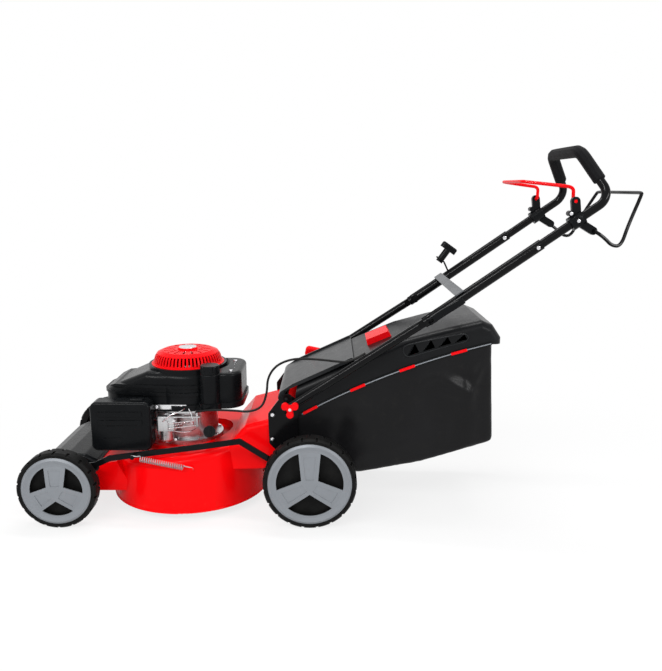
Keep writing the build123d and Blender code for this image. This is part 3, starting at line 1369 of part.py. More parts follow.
def bag_fabric():
    """Fabric body of the bag, open to the lid and to the chute."""
    inner = BAG_W / 2 - BAG_WALL
    open_top = across(seam_band(-3 * BAG_WALL, 1.0), -inner, inner)
    return fabric_form(0) - fabric_form(BAG_WALL) - open_top - mouth_block()


def bag_trim():
    """Red carrying grip and the red clips along the seam."""
    half = BAG_W / 2 + 4.0
    pieces = []
    for start in (34.0, 172.0, 310.0, 450.0):
        end = start + 42.0
        clip = across(outline([seam(start), seam(end), seam(end, 7.0), seam(start, 7.0)]), -half - 2.5, -half)
        pieces += [clip, other_side(clip)]
    foot = (LID_CROWN_X, lid_top(LID_CROWN_X))
    size = math.hypot(*LID_RIDGE[0])
    run = (LID_RIDGE[0][0] / size, LID_RIDGE[0][1] / size)
    grip = outline(
        [along(run, foot, 4.0), along(run, foot, 74.0), along(run, foot, 71.0, 16.0), along(run, foot, 7.0, 16.0)]
    )
    grip = across(grip, -44.0, 44.0)
    grip = fillet(grip.edges().sort_by(Axis.Z)[-1:], 4.0)
    return Compound(children=pieces + [grip])


# Control cable from the engine, past the bracket and up to the left lower tube.
CABLE_R = 3.0
CABLE_END = along(LOWER_DIR, KNOB_PIVOT, 0.459 * LOWER_LENGTH, TUBE_R + CABLE_R + SKIN_GAP)
CABLE_TAIL = along(LOWER_DIR, KNOB_PIVOT, 0.565 * LOWER_LENGTH, TUBE_R + CABLE_R + SKIN_GAP)


def cable_points():
    """Bends of the cable: along the engine, up past the bracket and over to the tube."""
    x, z = KNOB_PIVOT
    return [
        (CARB_X + 84.0, CARB_Y - 8.0 - CABLE_R - SKIN_GAP, PAD_Z + 104.0),
        (CARB_X + 106.0, CARB_Y - 36.0, PAD_Z + 116.0),
        (CARB_X + 150.0, CARB_Y - 50.0, PAD_Z + 122.0),
        (x - 144.0, -TUBE_Y + 9.0, z - 13.0),
        (x - 108.0, -TUBE_Y + 6.0, z - 16.0),
        (x - 73.0, -TUBE_Y + 3.0, z - 2.0),
        (x - 60.0, -TUBE_Y + 1.0, z + 38.0),
        (x - 58.0, -TUBE_Y, z + 78.0),
        (x - 36.0, -TUBE_Y, z + 111.0),
        (x + 4.0, -TUBE_Y, z + 128.0),
        (x + 48.0, -TUBE_Y, z + 128.5),
        (x + 90.0, -TUBE_Y, z + 125.0),
        (x + 112.0, -TUBE_Y, z + 122.0),
        (CABLE_END[0], -TUBE_Y, CABLE_END[1]),
        (CABLE_TAIL[0], -TUBE_Y, CABLE_TAIL[1]),
    ]


def cord_radii(points):
    """Largest tidy arc at each bend: 0.45 of the shorter run."""
    radii = []
    for before, here, after in zip(points[:-2], points[1:-1], points[2:]):
        into = Vector(*here) - Vector(*before)
        out = Vector(*after) - Vector(*here)
        half = math.radians(into.get_angle(out)) / 2
        radii.append(0.45 * min(into.length, out.length) / math.tan(half))
    return radii


def control_cable():
    points = cable_points()
    radii = cord_radii(points)
    print("control_cable radii", [round(r, 1) for r in radii])
    cable = bent_rod(points, radii, CABLE_R)
    length = FilletPolyline(*points, radius=radii).length
    print("control_cable volume ratio", round(cable.volume / (math.pi * CABLE_R**2 * length), 4))
    return cable


# Tension spring between the link bar and the deck.
SPRING_FRONT = (CRANK_X - 111.0, SHOULDER_Z + 8.0)
SPRING_REAR = (CRANK_X + 40.0, SHOULDER_Z - 24.5)
SPRING_SKIRT_R = DECK_R - DECK_TAPER * (SPRING_REAR[1] - RIM_Z)
SPRING_Y = -SPRING_SKIRT_R - SPRING_R - SPRING_WIRE / 2 - 2.0
SPRING_STUD_R = 3.0
SPRING_HOOK = SPRING_STUD_R + SPRING_WIRE / 2 + SKIN_GAP


def arc_between(start, corner, end):
    """Arc from start to end, tangent to both sides of the corner."""
    chord = (start + end) / 2
    lift = corner - chord
    half = (end - start).length / 2
    turn = math.atan2(lift.length, half)
    return ThreePointArc(start, chord + lift.normalized() * (half * math.tan(turn / 2)), end)


def biarc(start, start_dir, end, end_dir):
    """Two arcs that join two points with given directions."""
    gap = end - start
    both = start_dir + end_dir
    spread = 2 * (1 - start_dir.dot(end_dir))
    reach = (-gap.dot(both) + math.sqrt(gap.dot(both) ** 2 + spread * gap.dot(gap))) / spread
    first = start + start_dir * reach
    second = end - end_dir * reach
    middle = (first + second) / 2
    return [arc_between(start, first, middle), arc_between(middle, second, end)]


def spring_path():
    """Hook, turns and hook, as one chain of tangent pieces."""
    front = Vector(SPRING_FRONT[0], SPRING_Y, SPRING_FRONT[1])
    rear = Vector(SPRING_REAR[0], SPRING_Y, SPRING_REAR[1])
    axis = (rear - front).normalized()
    up = Vector(-axis.Z, 0, axis.X)
    side = axis.cross(up)
    tail = 3.2 * SPRING_R
    coil = (rear - front).length - 2 * tail
    pitch = coil / SPRING_TURNS
    rise = pitch / (2 * math.pi * SPRING_R)
    lean = math.atan(rise)

    def on_coil(turn):
        angle = 2 * math.pi * turn
        radial = up * math.cos(angle) + side * math.sin(angle)
        round_dir = side * math.cos(angle) - up * math.sin(angle)
        place = front + axis * (tail + pitch * turn) + radial * SPRING_R
        return place, round_dir * math.cos(lean) + axis * math.sin(lean)

    hook_in = front + up * SPRING_HOOK + axis * (SPRING_HOOK + 2.0)
    hook_out = rear + up * SPRING_HOOK - axis * (SPRING_HOOK + 2.0)
    pieces = [
        ThreePointArc(front - up * SPRING_HOOK, front - axis * SPRING_HOOK, front + up * SPRING_HOOK),
        Line(front + up * SPRING_HOOK, hook_in),
    ]
    pieces += biarc(hook_in, axis, *on_coil(0))
    for step in range(2 * SPRING_TURNS):
        pieces += biarc(*on_coil(step / 2), *on_coil((step + 1) / 2))
    pieces += biarc(*on_coil(SPRING_TURNS), hook_out, axis)
    pieces += [
        Line(hook_out, rear + up * SPRING_HOOK),
        ThreePointArc(rear + up * SPRING_HOOK, rear + axis * SPRING_HOOK, rear - up * SPRING_HOOK),
    ]
    return pieces


def least_gap(pieces):
    """Smallest clear distance of the wire from itself, on points along it."""
    points = []
    run = 0.0
    for piece in pieces:
        for step in range(8):
            points.append((run + piece.length * step / 8, piece @ (step / 8)))
        run += piece.length
    apart = 2.5 * math.pi * SPRING_R / 2
    least = min(
        (a - b).length for index, (sa, a) in enumerate(points) for sb,
        b in points[index + 1:] if sb - sa > apart
    )
    return least - SPRING_WIRE


def height_spring():
    """Wound tension spring with a hook at each end."""
    pieces = spring_path()
    print("height_spring least gap", round(least_gap(pieces), 2))
    path = Wire(pieces)
    section = Plane(origin=path @ 0, z_dir=path % 0) * Circle(SPRING_WIRE / 2)
    return sweep(section, path=path)


def spring_stud(place, inner):
    """Headed stud that a hook of the spring hangs on."""
    outer = SPRING_Y - SPRING_WIRE / 2 - SKIN_GAP
    stud = cross_rod(place, outer - 2.0, inner, SPRING_STUD_R)
    return stud + cross_rod(place, outer - 2.0, outer, SPRING_STUD_R + 2.5)


PIECES = {
    "deck_shell": deck_shell,
    "front_apron": front_apron,
    "engine_block": engine_block,
    "blower_housing": blower_housing,
    "recoil_cover": recoil_cover,
    "fuel_tank": fuel_tank,
    "fuel_cap": fuel_cap,
    "air_cleaner_base": air_cleaner_base,
    "air_cleaner_cover": air_cleaner_cover,
    "air_filter": air_filter,
    "carburettor": carburettor,
    "muffler": muffler,
    "spark_plug": spark_plug,
    "oil_filler": oil_filler,
    "dipstick": dipstick,
    "flywheel": flywheel,
    "crankshaft": crankshaft,
    "blade_adapter": blade_adapter,
    "blade": blade,
    "gearbox": gearbox,
    "gearbox_pulley": gearbox_pulley,
    "drive_belt": drive_belt,
    "drive_shaft": drive_shaft,
    "front_axle": front_axle,
    "rear_axle": rear_axle,
    "height_knob": height_knob,
    "height_link_bar": height_link_bar,
    "cross_brace": cross_brace,
    "top_loop": top_loop,
    "foam_grip": foam_grip,
    "brake_bail": brake_bail,
    "drive_bail": drive_bail,
    "rope_guide": rope_guide,
    "starter_grip": starter_grip,
    "rear_flap": rear_flap,
    "bag_lid": bag_lid,
    "bag_fabric": bag_fabric,
    "bag_trim": bag_trim,
    "control_cable": control_cable,
    "height_spring": height_spring,
}
PAIRS = {
    "handle_bracket": bracket,
    "lower_tube": lower_tube,
    "mid_tube": mid_tube,
    "cam_lever": cam_lever,
    "wing_knob": wing_knob,
    "clamp": clamp,
}


def all_pieces():
    """Every node's name and its solid."""
    made = {name: build() for name, build in PIECES.items()}
    for name, build in PAIRS.items():
        left = build()
        made[name + "_left"] = left
        made[name + "_right"] = other_side(left)
    for end, (radius, width, count, geared, x) in WHEELS.items():
        tyre = Pos(x, -WHEEL_Y, radius) * wheel(radius, width, count, geared)
        cap = Pos(x, -WHEEL_Y, radius) * hub_cap(radius, width)
        made[f"{end}_wheel_left"] = tyre
        made[f"{end}_wheel_right"] = other_side(tyre)
        made[f"{end}_hub_cap_left"] = cap
        made[f"{end}_hub_cap_right"] = other_side(cap)
    return made


os.makedirs("parts", exist_ok=True)
for node, solid in all_pieces().items():
    export_step(solid, f"parts/{node}.step")
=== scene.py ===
"""Finishes, soft goods, cable and studio for a petrol lawn mower with a grass bag."""

import json
import math

import bmesh
import bpy
from mathutils import Matrix, Vector, noise


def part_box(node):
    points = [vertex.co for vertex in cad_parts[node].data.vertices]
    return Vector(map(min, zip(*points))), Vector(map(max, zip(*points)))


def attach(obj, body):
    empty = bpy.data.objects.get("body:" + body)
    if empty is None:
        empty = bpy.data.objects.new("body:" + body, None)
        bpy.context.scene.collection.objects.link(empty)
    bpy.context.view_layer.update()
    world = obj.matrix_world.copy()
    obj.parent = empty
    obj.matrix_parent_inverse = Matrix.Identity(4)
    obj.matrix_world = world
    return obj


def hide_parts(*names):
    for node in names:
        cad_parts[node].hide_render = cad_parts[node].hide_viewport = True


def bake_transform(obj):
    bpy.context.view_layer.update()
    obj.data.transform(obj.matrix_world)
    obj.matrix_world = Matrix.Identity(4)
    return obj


bl_info = {
    "name": "Lawn Mower Dresser",
    "version": (1, 0, 0),
    "blender": (4, 5, 0),
    "location": "View3D > Sidebar > Mower",
    "description": "Dresses the packed lawn mower with finishes, a soft bag, its cable and a studio",
    "category": "Object",
}

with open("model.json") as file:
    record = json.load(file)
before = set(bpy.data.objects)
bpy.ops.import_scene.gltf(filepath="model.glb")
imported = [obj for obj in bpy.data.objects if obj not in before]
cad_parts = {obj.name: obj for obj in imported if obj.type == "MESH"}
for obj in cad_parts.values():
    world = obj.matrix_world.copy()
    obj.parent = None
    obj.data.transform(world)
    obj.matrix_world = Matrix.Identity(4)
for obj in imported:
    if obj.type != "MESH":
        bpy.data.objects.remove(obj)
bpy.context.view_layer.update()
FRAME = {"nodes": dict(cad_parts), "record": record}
NODES = FRAME["nodes"]
JOINTS = {joint["child"]: joint for joint in FRAME["record"]["behaviour"]["joints"]}
SIDES = (("left", -1), ("right", 1))

# The upper handle's fold line, and the directions along its tubes and above them
FOLD = Vector((0.26405, 0.0, 0.5321))
HANDLE_RUN = Vector((0.82115, 0.0, 0.57071))
HANDLE_RISE = Vector((-0.57071, 0.0, 0.82115))

# The bowed seam between the bag's lid and its fabric: an arc in the side view
SEAM_CENTRE = Vector((0.89912, 0.0, -1.48420))
SEAM_RADIUS = 2.000525
SEAM_START = math.radians(119.55679)
SEAM_LENGTH = 0.5605


def pivot(body):
    """Where a jointed body turns."""
    return Vector(JOINTS[body]["pos_m"])


def on_handle(run, rise, y):
    """A point along the upper handle, and its height above the tube's line."""
    place = FOLD + HANDLE_RUN * run + HANDLE_RISE * rise
    return Vector((place.x, y, place.z))


def on_seam(run, rise, y):
    """A point along the seam, and its height above it."""
    angle = SEAM_START - run / SEAM_RADIUS
    reach = SEAM_RADIUS + rise
    return SEAM_CENTRE + Vector((reach * math.cos(angle), y, reach * math.sin(angle)))


def above_seam(place):
    """Height of a point above the seam."""
    return math.hypot(place.x - SEAM_CENTRE.x, place.z - SEAM_CENTRE.z) - SEAM_RADIUS


class PaintSettings(bpy.types.PropertyGroup):
    """Colours of the main finishes."""

    deck_red: bpy.props.FloatVectorProperty(
        name="Deck red", description="Gloss paint of the deck", subtype="COLOR", default=(0.90, 0.0015, 0.003)
    )
    trim_red: bpy.props.FloatVectorProperty(
        name="Trim red", description="Red mouldings", subtype="COLOR", default=(0.80, 0.004, 0.007)
    )
    moulded_black: bpy.props.FloatVectorProperty(
        name="Moulded black", description="Engine covers and clamps", subtype="COLOR",
        default=(0.0038, 0.0043, 0.0050),
    )
    lid_black: bpy.props.FloatVectorProperty(
        name="Lid black", description="Hard top of the bag", subtype="COLOR", default=(0.0062, 0.0066, 0.0073)
    )
    flap_grey: bpy.props.FloatVectorProperty(
        name="Flap grey", description="Discharge flap", subtype="COLOR", default=(0.014, 0.015, 0.0165)
    )
    cap_grey: bpy.props.FloatVectorProperty(
        name="Cap grey", description="Wheel covers", subtype="COLOR", default=(0.20, 0.215, 0.235)
    )
    cloth_black: bpy.props.FloatVectorProperty(
        name="Cloth black", description="Bag fabric", subtype="COLOR", default=(0.0045, 0.0045, 0.0050)
    )


class BagSettings(bpy.types.PropertyGroup):
    """Sizes of the soft bag."""

    half_width: bpy.props.FloatProperty(
        name="Half width", description="From the middle to the side panel", unit="LENGTH", default=0.1485
    )
    billow: bpy.props.FloatProperty(
        name="Billow", description="How far the panels stand out or sink", unit="LENGTH", default=0.006
    )
    thickness: bpy.props.FloatProperty(
        name="Thickness", description="Cloth thickness", unit="LENGTH", default=0.0012
    )


class StudioSettings(bpy.types.PropertyGroup):
    """Light levels."""

    key_power: bpy.props.FloatProperty(
        name="Key", description="Large lamp, front left", unit="POWER", default=95.0
    )
    fill_power: bpy.props.FloatProperty(
        name="Fill", description="Lamp, front right", unit="POWER", default=38.0
    )
    top_power: bpy.props.FloatProperty(
        name="Top", description="Lamp overhead", unit="POWER", default=60.0
    )
    sky: bpy.props.FloatProperty(name="Sky", description="Level of the even light", default=0.45)
    shadow: bpy.props.FloatProperty(
        name="Shadow", description="How much the floor keeps of the shadow", subtype="FACTOR", default=0.22
    )


class Value:
    """A shader number that can be used in sums."""

    def __init__(self, nodes, socket):
        self.nodes = nodes
        self.socket = socket

    def maths(self, operation, other, swapped=False):
        first, second = (other, self) if swapped else (self, other)
        return self.nodes.node("ShaderNodeMath", {"operation": operation}, {0: first, 1: second})

    def __add__(self, other):
        return self.maths("ADD", other)

    __radd__ = __add__

    def __sub__(self, other):
        return self.maths("SUBTRACT", other)

    def __rsub__(self, other):
        return self.maths("SUBTRACT", other, swapped=True)

    def __mul__(self, other):
        return self.maths("MULTIPLY", other)

    __rmul__ = __mul__

    def clamped(self):
        return self.nodes.node("ShaderNodeClamp", {}, {0: self})


class Nodes:
    """A shader tree while it is being built."""

    def __init__(self, tree):
        self.tree = tree

    def raw(self, kind, settings, sockets):
        """A node with its settings and the values or links of its sockets."""
        made = self.tree.nodes.new(kind)
        for key, value in settings.items():
            setattr(made, key, value)
        for key, value in sockets.items():
            self.feed(made.inputs[key], value)
        return made

    def feed(self, socket, value):
        """Links a socket, or sets its value."""
        if isinstance(value, Value):
            self.tree.links.new(value.socket, socket)
        elif isinstance(value, bpy.types.NodeSocket):
            self.tree.links.new(value, socket)
        elif socket.type == "RGBA":
            socket.default_value = (*value, 1.0)
        else:
            socket.default_value = value

    def node(self, kind, settings, sockets, output=0):
        """One output of a new node, for sums."""
        return Value(self, self.raw(kind, settings, sockets).outputs[output])


class Finish(Nodes):
    """A procedural material while it is being built."""

    def __init__(self, name):
        self.material = bpy.data.materials.new(name)
        self.material.use_nodes = True
        super().__init__(self.material.node_tree)
        self.tree.nodes.clear()
        out = self.tree.nodes.new("ShaderNodeOutputMaterial")
        self.shader = self.tree.nodes.new("ShaderNodeBsdfPrincipled")
        self.tree.links.new(self.shader.outputs[0], out.inputs[0])
        self.place = self.raw("ShaderNodeTexCoord", {}, {}).outputs["Object"]

    def cloud(self, scale, detail=3.0, rough=0.55, stretch=(1.0, 1.0, 1.0)):
        """Even noise, 0 to 1."""
        place = self.node("ShaderNodeMapping", {}, {"Vector": self.place, "Scale": stretch})
        return self.node(
            "ShaderNodeTexNoise", {}, {"Vector": place, "Scale": scale, "Detail": detail, "Roughness": rough}
        )

    def cells(self, scale):
        """Cell distance, for grain and foam."""
        return self.node("ShaderNodeTexVoronoi", {}, {"Vector": self.place, "Scale": scale})

    def band(self, value, low, high):
        """0 below low, 1 above high."""
        return self.node(
            "ShaderNodeMapRange", {"interpolation_type": "SMOOTHSTEP"},
            {"Value": value, "From Min": low, "From Max": high},
        )

    def blend(self, share, first, second):
        """Colour between two colours."""
        return self.node("ShaderNodeMix", {"data_type": "RGBA"}, {0: share, 6: first, 7: second}, output=2)

    def height(self):
        """Height in the piece's own frame, in metres."""
        return self.node("ShaderNodeSeparateXYZ", {}, {0: self.place}, output="Z")

    def facing_up(self):
        """1 where the surface faces straight up."""
        normal = self.raw("ShaderNodeNewGeometry", {}, {}).outputs["Normal"]
        return self.node("ShaderNodeSeparateXYZ", {}, {0: normal}, output="Z")

    def edges(self, spread=0.0015):
        """1 along sharp outer edges."""
        bevel = self.raw("ShaderNodeBevel", {"samples": 4}, {"Radius": spread}).outputs[0]
        normal = self.raw("ShaderNodeNewGeometry", {}, {}).outputs["Normal"]
        dot = self.node(
            "ShaderNodeVectorMath", {"operation": "DOT_PRODUCT"}, {0: bevel, 1: normal}, output="Value"
        )
        return self.band(1.0 - dot, 0.02, 0.25)

    def bump(self, value, strength, distance=0.001):
        """Fine relief of the surface."""
        made = self.raw(
            "ShaderNodeBump", {}, {"Height": value, "Strength": strength, "Distance": distance}
        )
        self.feed(self.shader.inputs["Normal"], made.outputs[0])

    def set(self, **sockets):
        """Values of the shader's sockets, with underscores for the spaces in their names."""
        for key, value in sockets.items():
            self.feed(self.shader.inputs[key.replace("_", " ")], value)


def gloss_red(colour, name, coat):
    """Gloss red with a faint ripple in the paint and dust low down."""
    finish = Finish(name)
    tone = finish.cloud(9.0)
    paint = finish.blend(finish.band(tone, 0.35, 0.75) * 0.30, colour, tuple(c * 0.78 for c in colour))
    low = 1.0 - finish.band(finish.height(), 0.02, 0.09)
    dust = low * finish.band(finish.cloud(60.0), 0.5, 0.75) * 0.06
    paint = finish.blend(dust, paint, (0.22, 0.12, 0.08))
    finish.set(Base_Color=paint, Roughness=finish.cloud(35.0) * 0.10 + 0.20 + dust * 0.8)
    finish.set(Coat_Weight=coat, Coat_Roughness=0.05, Specular_IOR_Level=0.03)
    finish.bump(finish.cloud(170.0, 2.0), 0.035)
    return finish.material


def moulded(colour, name, grain, rough, strength, shine):
    """Moulded plastic: fine grain, soft sheen, pale dust where it faces up, worn edges."""
    finish = Finish(name)
    tone = finish.cloud(14.0, 4.0)
    light = tuple(c * 1.7 + 0.002 for c in colour)
    body = finish.blend(finish.band(tone, 0.40, 0.80) * 0.45, colour, light)
    level = finish.band(finish.facing_up(), 0.55, 1.0)
    dust = level * finish.band(finish.cloud(45.0, 5.0), 0.45, 0.80) * 0.03
    worn = finish.edges() * finish.band(finish.cloud(120.0), 0.45, 0.7) * 0.16
    body = finish.blend((dust + worn).clamped(), body, (0.15, 0.15, 0.15))
    finish.set(Base_Color=body, Roughness=finish.cloud(55.0) * 0.16 + rough - 0.06 + dust)
    finish.set(Specular_IOR_Level=shine)
    finish.bump(finish.cells(grain) * 0.6 + finish.cloud(grain * 0.7) * 0.4, strength, 0.0006)
    return finish.material


def black_paint(name):
    """Gloss black powder coat on the tubes and brackets."""
    finish = Finish(name)
    chips = finish.edges(0.001) * finish.band(finish.cloud(160.0), 0.58, 0.68) * 0.4
    body = finish.blend(finish.cloud(22.0) * 0.4, (0.0028, 0.0028, 0.0032), (0.0065, 0.0065, 0.0072))
    body = finish.blend(chips, body, (0.22, 0.22, 0.23))
    finish.set(Base_Color=body, Roughness=finish.cloud(80.0) * 0.10 + 0.12)
    finish.set(Coat_Weight=0.06, Coat_Roughness=0.08, Specular_IOR_Level=0.08)
    finish.bump(finish.cloud(420.0, 2.0), 0.06, 0.0004)
    return finish.material


def silver_grey(colour, name):
    """Grey satin paint of the wheel covers, with dirt in the hollows and a painted highlight along every
    edge.
    """
    finish = Finish(name)
    tone = finish.cloud(30.0)
    body = finish.blend(tone * 0.35, colour, tuple(c * 1.25 for c in colour))
    dirt = finish.band(finish.cloud(70.0, 5.0), 0.55, 0.85) * 0.14
    body = finish.blend(dirt, body, (0.10, 0.09, 0.08))
    # Painted highlight: every edge is lightened towards pale grey, as if it caught the light
    body = finish.blend(finish.edges() * 0.35, body, (0.46, 0.48, 0.50))
    finish.set(Base_Color=body, Metallic=0.25, Roughness=tone * 0.12 + 0.30 + dirt)
    finish.bump(finish.cloud(520.0), 0.05, 0.0004)
    return finish.material


def tyre_rubber(name):
    """Black tyre rubber with a grey bloom, a little soil and a painted highlight along the tread edges."""
    finish = Finish(name)
    bloom = finish.band(finish.cloud(40.0, 5.0), 0.35, 0.8) * 0.5
    body = finish.blend(bloom, (0.004, 0.004, 0.004), (0.012, 0.012, 0.0115))
    soil = finish.band(finish.cloud(90.0, 6.0), 0.62, 0.85) * 0.07
    body = finish.blend(soil, body, (0.12, 0.09, 0.06))
    # Painted highlight: the tread edges are lightened to grey, as if they caught the light
    body = finish.blend(finish.edges(0.002) * 0.18, body, (0.10, 0.10, 0.10))
    finish.set(Base_Color=body, Roughness=finish.cloud(120.0) * 0.2 + 0.42, Specular_IOR_Level=0.08)
    finish.bump(finish.cloud(640.0), 0.16, 0.0005)
    return finish.material


def cast_alloy(name, tint):
    """Cast aluminium, mottled, bright enough to mirror the red deck."""
    finish = Finish(name)
    mottle = finish.cloud(160.0, 5.0, 0.65)
    body = finish.blend(mottle, tuple(c * 0.68 for c in tint), tint)
    oil = finish.band(finish.cloud(18.0, 4.0), 0.58, 0.78) * 0.4
    body = finish.blend(oil, body, (0.07, 0.06, 0.05))
    finish.set(Base_Color=body, Metallic=0.95, Roughness=mottle * 0.20 + 0.20)
    finish.bump(finish.cloud(700.0, 4.0), 0.18, 0.0006)
    return finish.material


def worked_steel(name, tint, rough, stretch):
    """Drawn or ground steel, with fine lines along one axis."""
    finish = Finish(name)
    lines = finish.cloud(90.0, 5.0, 0.6, stretch)
    body = finish.blend(lines * 0.6, tint, tuple(c * 0.7 for c in tint))
    rust = finish.band(finish.cloud(55.0, 6.0), 0.68, 0.86) * 0.25
    body = finish.blend(rust, body, (0.16, 0.08, 0.04))
    finish.set(Base_Color=body, Metallic=1.0 - rust, Roughness=lines * 0.16 + rough)
    finish.bump(lines, 0.08, 0.0003)
    return finish.material


def bag_cloth(colour, name):
    """Coated woven nylon: a fine plain weave that follows the cloth."""
    finish = Finish(name)
    uv = finish.raw("ShaderNodeTexCoord", {}, {}).outputs["UV"]
    waves = []
    for axis in ("X", "Y"):
        waves.append(
            finish.node(
                "ShaderNodeTexWave", {"wave_type": "BANDS", "bands_direction": axis},
                {"Vector": uv, "Scale": 190.0, "Distortion": 0.4, "Detail": 1.0},
            )
        )
    weave = waves[0] * waves[1]
    tone = finish.cloud(7.0, 4.0)
    shade = weave * 0.30 + finish.band(tone, 0.4, 0.8) * 0.35
    body = finish.blend(shade, colour, tuple(c * 2.2 for c in colour))
    dust = finish.band(finish.cloud(38.0, 6.0), 0.56, 0.86) * 0.02
    body = finish.blend(dust, body, (0.20, 0.18, 0.15))
    finish.set(Base_Color=body, Roughness=weave * 0.10 + tone * 0.12 + 0.25, Specular_IOR_Level=0.14)
    finish.set(Sheen_Weight=0.02, Sheen_Roughness=0.5)
    finish.bump(weave, 0.16, 0.0005)
    return finish.material


def soft_foam(name):
    """Closed-cell foam of the grip."""
    finish = Finish(name)
    cells = finish.cells(520.0)
    body = finish.blend(finish.cloud(30.0), (0.004, 0.004, 0.0044), (0.010, 0.010, 0.011))
    finish.set(Base_Color=body, Roughness=finish.cloud(70.0) * 0.15 + 0.62)
    finish.set(Specular_IOR_Level=0.06, Sheen_Weight=0.02)
    finish.bump(cells * 0.7 + finish.cloud(260.0) * 0.5, 0.30, 0.0008)
    return finish.material


def plain_rubber(name):
    """Smooth black rubber of the belt and the cable's sleeve."""
    finish = Finish(name)
    body = finish.blend(finish.cloud(60.0), (0.008, 0.008, 0.008), (0.0176, 0.0176, 0.0176))
    finish.set(Base_Color=body, Roughness=finish.cloud(140.0) * 0.18 + 0.34, Specular_IOR_Level=0.10)
    finish.bump(finish.cloud(600.0), 0.08, 0.0004)
    return finish.material


def filter_paper(name):
    """Tan pleated paper."""
    finish = Finish(name)
    fibre = finish.cloud(300.0, 5.0)
    body = finish.blend(fibre, (0.42, 0.33, 0.17), (0.60, 0.50, 0.30))
    finish.set(Base_Color=body, Roughness=fibre * 0.1 + 0.8)
    finish.bump(fibre, 0.3, 0.0006)
    return finish.material


FINISHES = {}


def build_finishes(scene):
    """Every finish by its short name."""
    paint = scene.mower_paint
    FINISHES.update(
        deck=gloss_red(tuple(paint.deck_red), "deck_gloss_red", 0.06),
        trim=gloss_red(tuple(paint.trim_red), "trim_red_moulding", 0.04),
        cover=moulded(tuple(paint.moulded_black), "moulded_black_cover", 900.0, 0.25, 0.08, 0.09),
        lid=moulded(tuple(paint.lid_black), "grained_lid_black", 620.0, 0.28, 0.12, 0.11),
        flap=moulded(tuple(paint.flap_grey), "grained_flap_grey", 620.0, 0.28, 0.10, 0.13),
        tube=black_paint("black_powder_coat"),
        brace=moulded((0.060, 0.064, 0.070), "grey_strip_paint", 700.0, 0.36, 0.06, 0.4),
        cap=silver_grey(tuple(paint.cap_grey), "wheel_cover_grey"),
        tyre=tyre_rubber("tyre_rubber"),
        alloy=cast_alloy("cast_alloy", (0.66, 0.66, 0.67)),
        steel=worked_steel("worked_steel", (0.58, 0.58, 0.59), 0.24, (1.0, 14.0, 14.0)),
        bright=worked_steel("bright_zinc", (0.80, 0.80, 0.82), 0.14, (8.0, 8.0, 8.0)),
        coil=worked_steel("spring_wire", (0.40, 0.40, 0.41), 0.40, (8.0, 8.0, 8.0)),
        cloth=bag_cloth(tuple(paint.cloth_black), "bag_nylon"),
        foam=soft_foam("grip_foam"),
        rubber=plain_rubber("black_rubber"),
        paper=filter_paper("filter_paper"),
    )


NODE_FINISH = {
    "deck": ["deck_shell"],
    "trim": ["recoil_cover", "height_knob", "wing_knob_left", "wing_knob_right", "brake_bail", "bag_trim"],
    "cover": [
        "front_apron", "blower_housing", "fuel_tank", "fuel_cap", "air_cleaner_base", "air_cleaner_cover",
        "spark_plug", "dipstick", "clamp_left", "clamp_right", "cam_lever_left", "cam_lever_right",
        "starter_grip",
    ],
    "lid": ["bag_lid"],
    "flap": ["rear_flap"],
    "tube": [
        "handle_bracket_left", "handle_bracket_right", "lower_tube_left", "lower_tube_right", "mid_tube_left",
        "mid_tube_right", "top_loop", "drive_bail", "height_link_bar", "rope_guide",
    ],
    "brace": ["cross_brace"],
    "cap": ["front_hub_cap_left", "front_hub_cap_right", "rear_hub_cap_left", "rear_hub_cap_right"],
    "tyre": ["front_wheel_left", "front_wheel_right", "rear_wheel_left", "rear_wheel_right"],
    "alloy": ["engine_block", "carburettor", "gearbox", "flywheel"],
    "steel": [
        "muffler", "crankshaft", "blade_adapter", "blade", "gearbox_pulley", "front_axle",
        "rear_axle", "drive_shaft",
    ],
    "bright": ["height_spring", "oil_filler"],
    "rubber": ["drive_belt", "control_cable"],
    "paper": ["air_filter"],
    "cloth": ["bag_fabric"],
    "foam": ["foam_grip"],
}


def make_piece(name, shape, body, finish, angle=0.6):
    """A finished mesh object that moves with a body."""
    bmesh.ops.remove_doubles(shape, verts=shape.verts, dist=1e-6)
    bmesh.ops.recalc_face_normals(shape, faces=shape.faces)
    for edge in shape.edges:
        edge.smooth = len(edge.link_faces) != 2 or edge.calc_face_angle(0.0) < angle
    for face in shape.faces:
        face.smooth = True
    mesh = bpy.data.meshes.new(name)
    shape.to_mesh(mesh)
    shape.free()
    made = bpy.data.objects.new(name, mesh)
    bpy.context.scene.collection.objects.link(made)
    made.data.materials.append(FINISHES[finish])
    if body:
        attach(made, body)
    return made


HEAD_SOFTNESS = 0.25
BLOCK_SOFTNESS = 0.15


def soften(shape, edges, width):
    """Rounds edges a little."""
    bmesh.ops.bevel(
        shape, geom=edges, offset=width, segments=2, profile=0.5, affect="EDGES", material=-1
    )


def join(shape, extra):
    """Moves one mesh into another."""
    mesh = bpy.data.meshes.new("joined")
    extra.to_mesh(mesh)
    extra.free()
    shape.from_mesh(mesh)
    bpy.data.meshes.remove(mesh)


def add_disc(shape, centre, normal, radius, depth, sides):
    """A low round or many-sided head with a softened rim."""
    up = Vector(normal).normalized()
    turn = Vector((0, 0, 1)).rotation_difference(up).to_matrix().to_4x4()
    head = bmesh.new()
    bmesh.ops.create_cone(
        head, cap_ends=True, segments=sides, radius1=radius, radius2=radius, depth=depth,
        matrix=Matrix.Translation(centre) @ turn,
    )
    top = Vector(centre) + up * depth * 0.5
    rim = [
        edge for edge in head.edges
        if all((end.co - top).dot(up) > -depth * 0.1 for end in edge.verts)
    ]
    soften(head, rim, depth * HEAD_SOFTNESS)
    join(shape, head)


def add_block(shape, centre, size):
    """A block with softened edges."""
    block = bmesh.new()
    place = Matrix.Translation(centre) @ Matrix.Diagonal((*size, 1.0))
    bmesh.ops.create_cube(block, size=1.0, matrix=place)
    soften(block, block.edges[:], min(size) * BLOCK_SOFTNESS)
    join(shape, block)


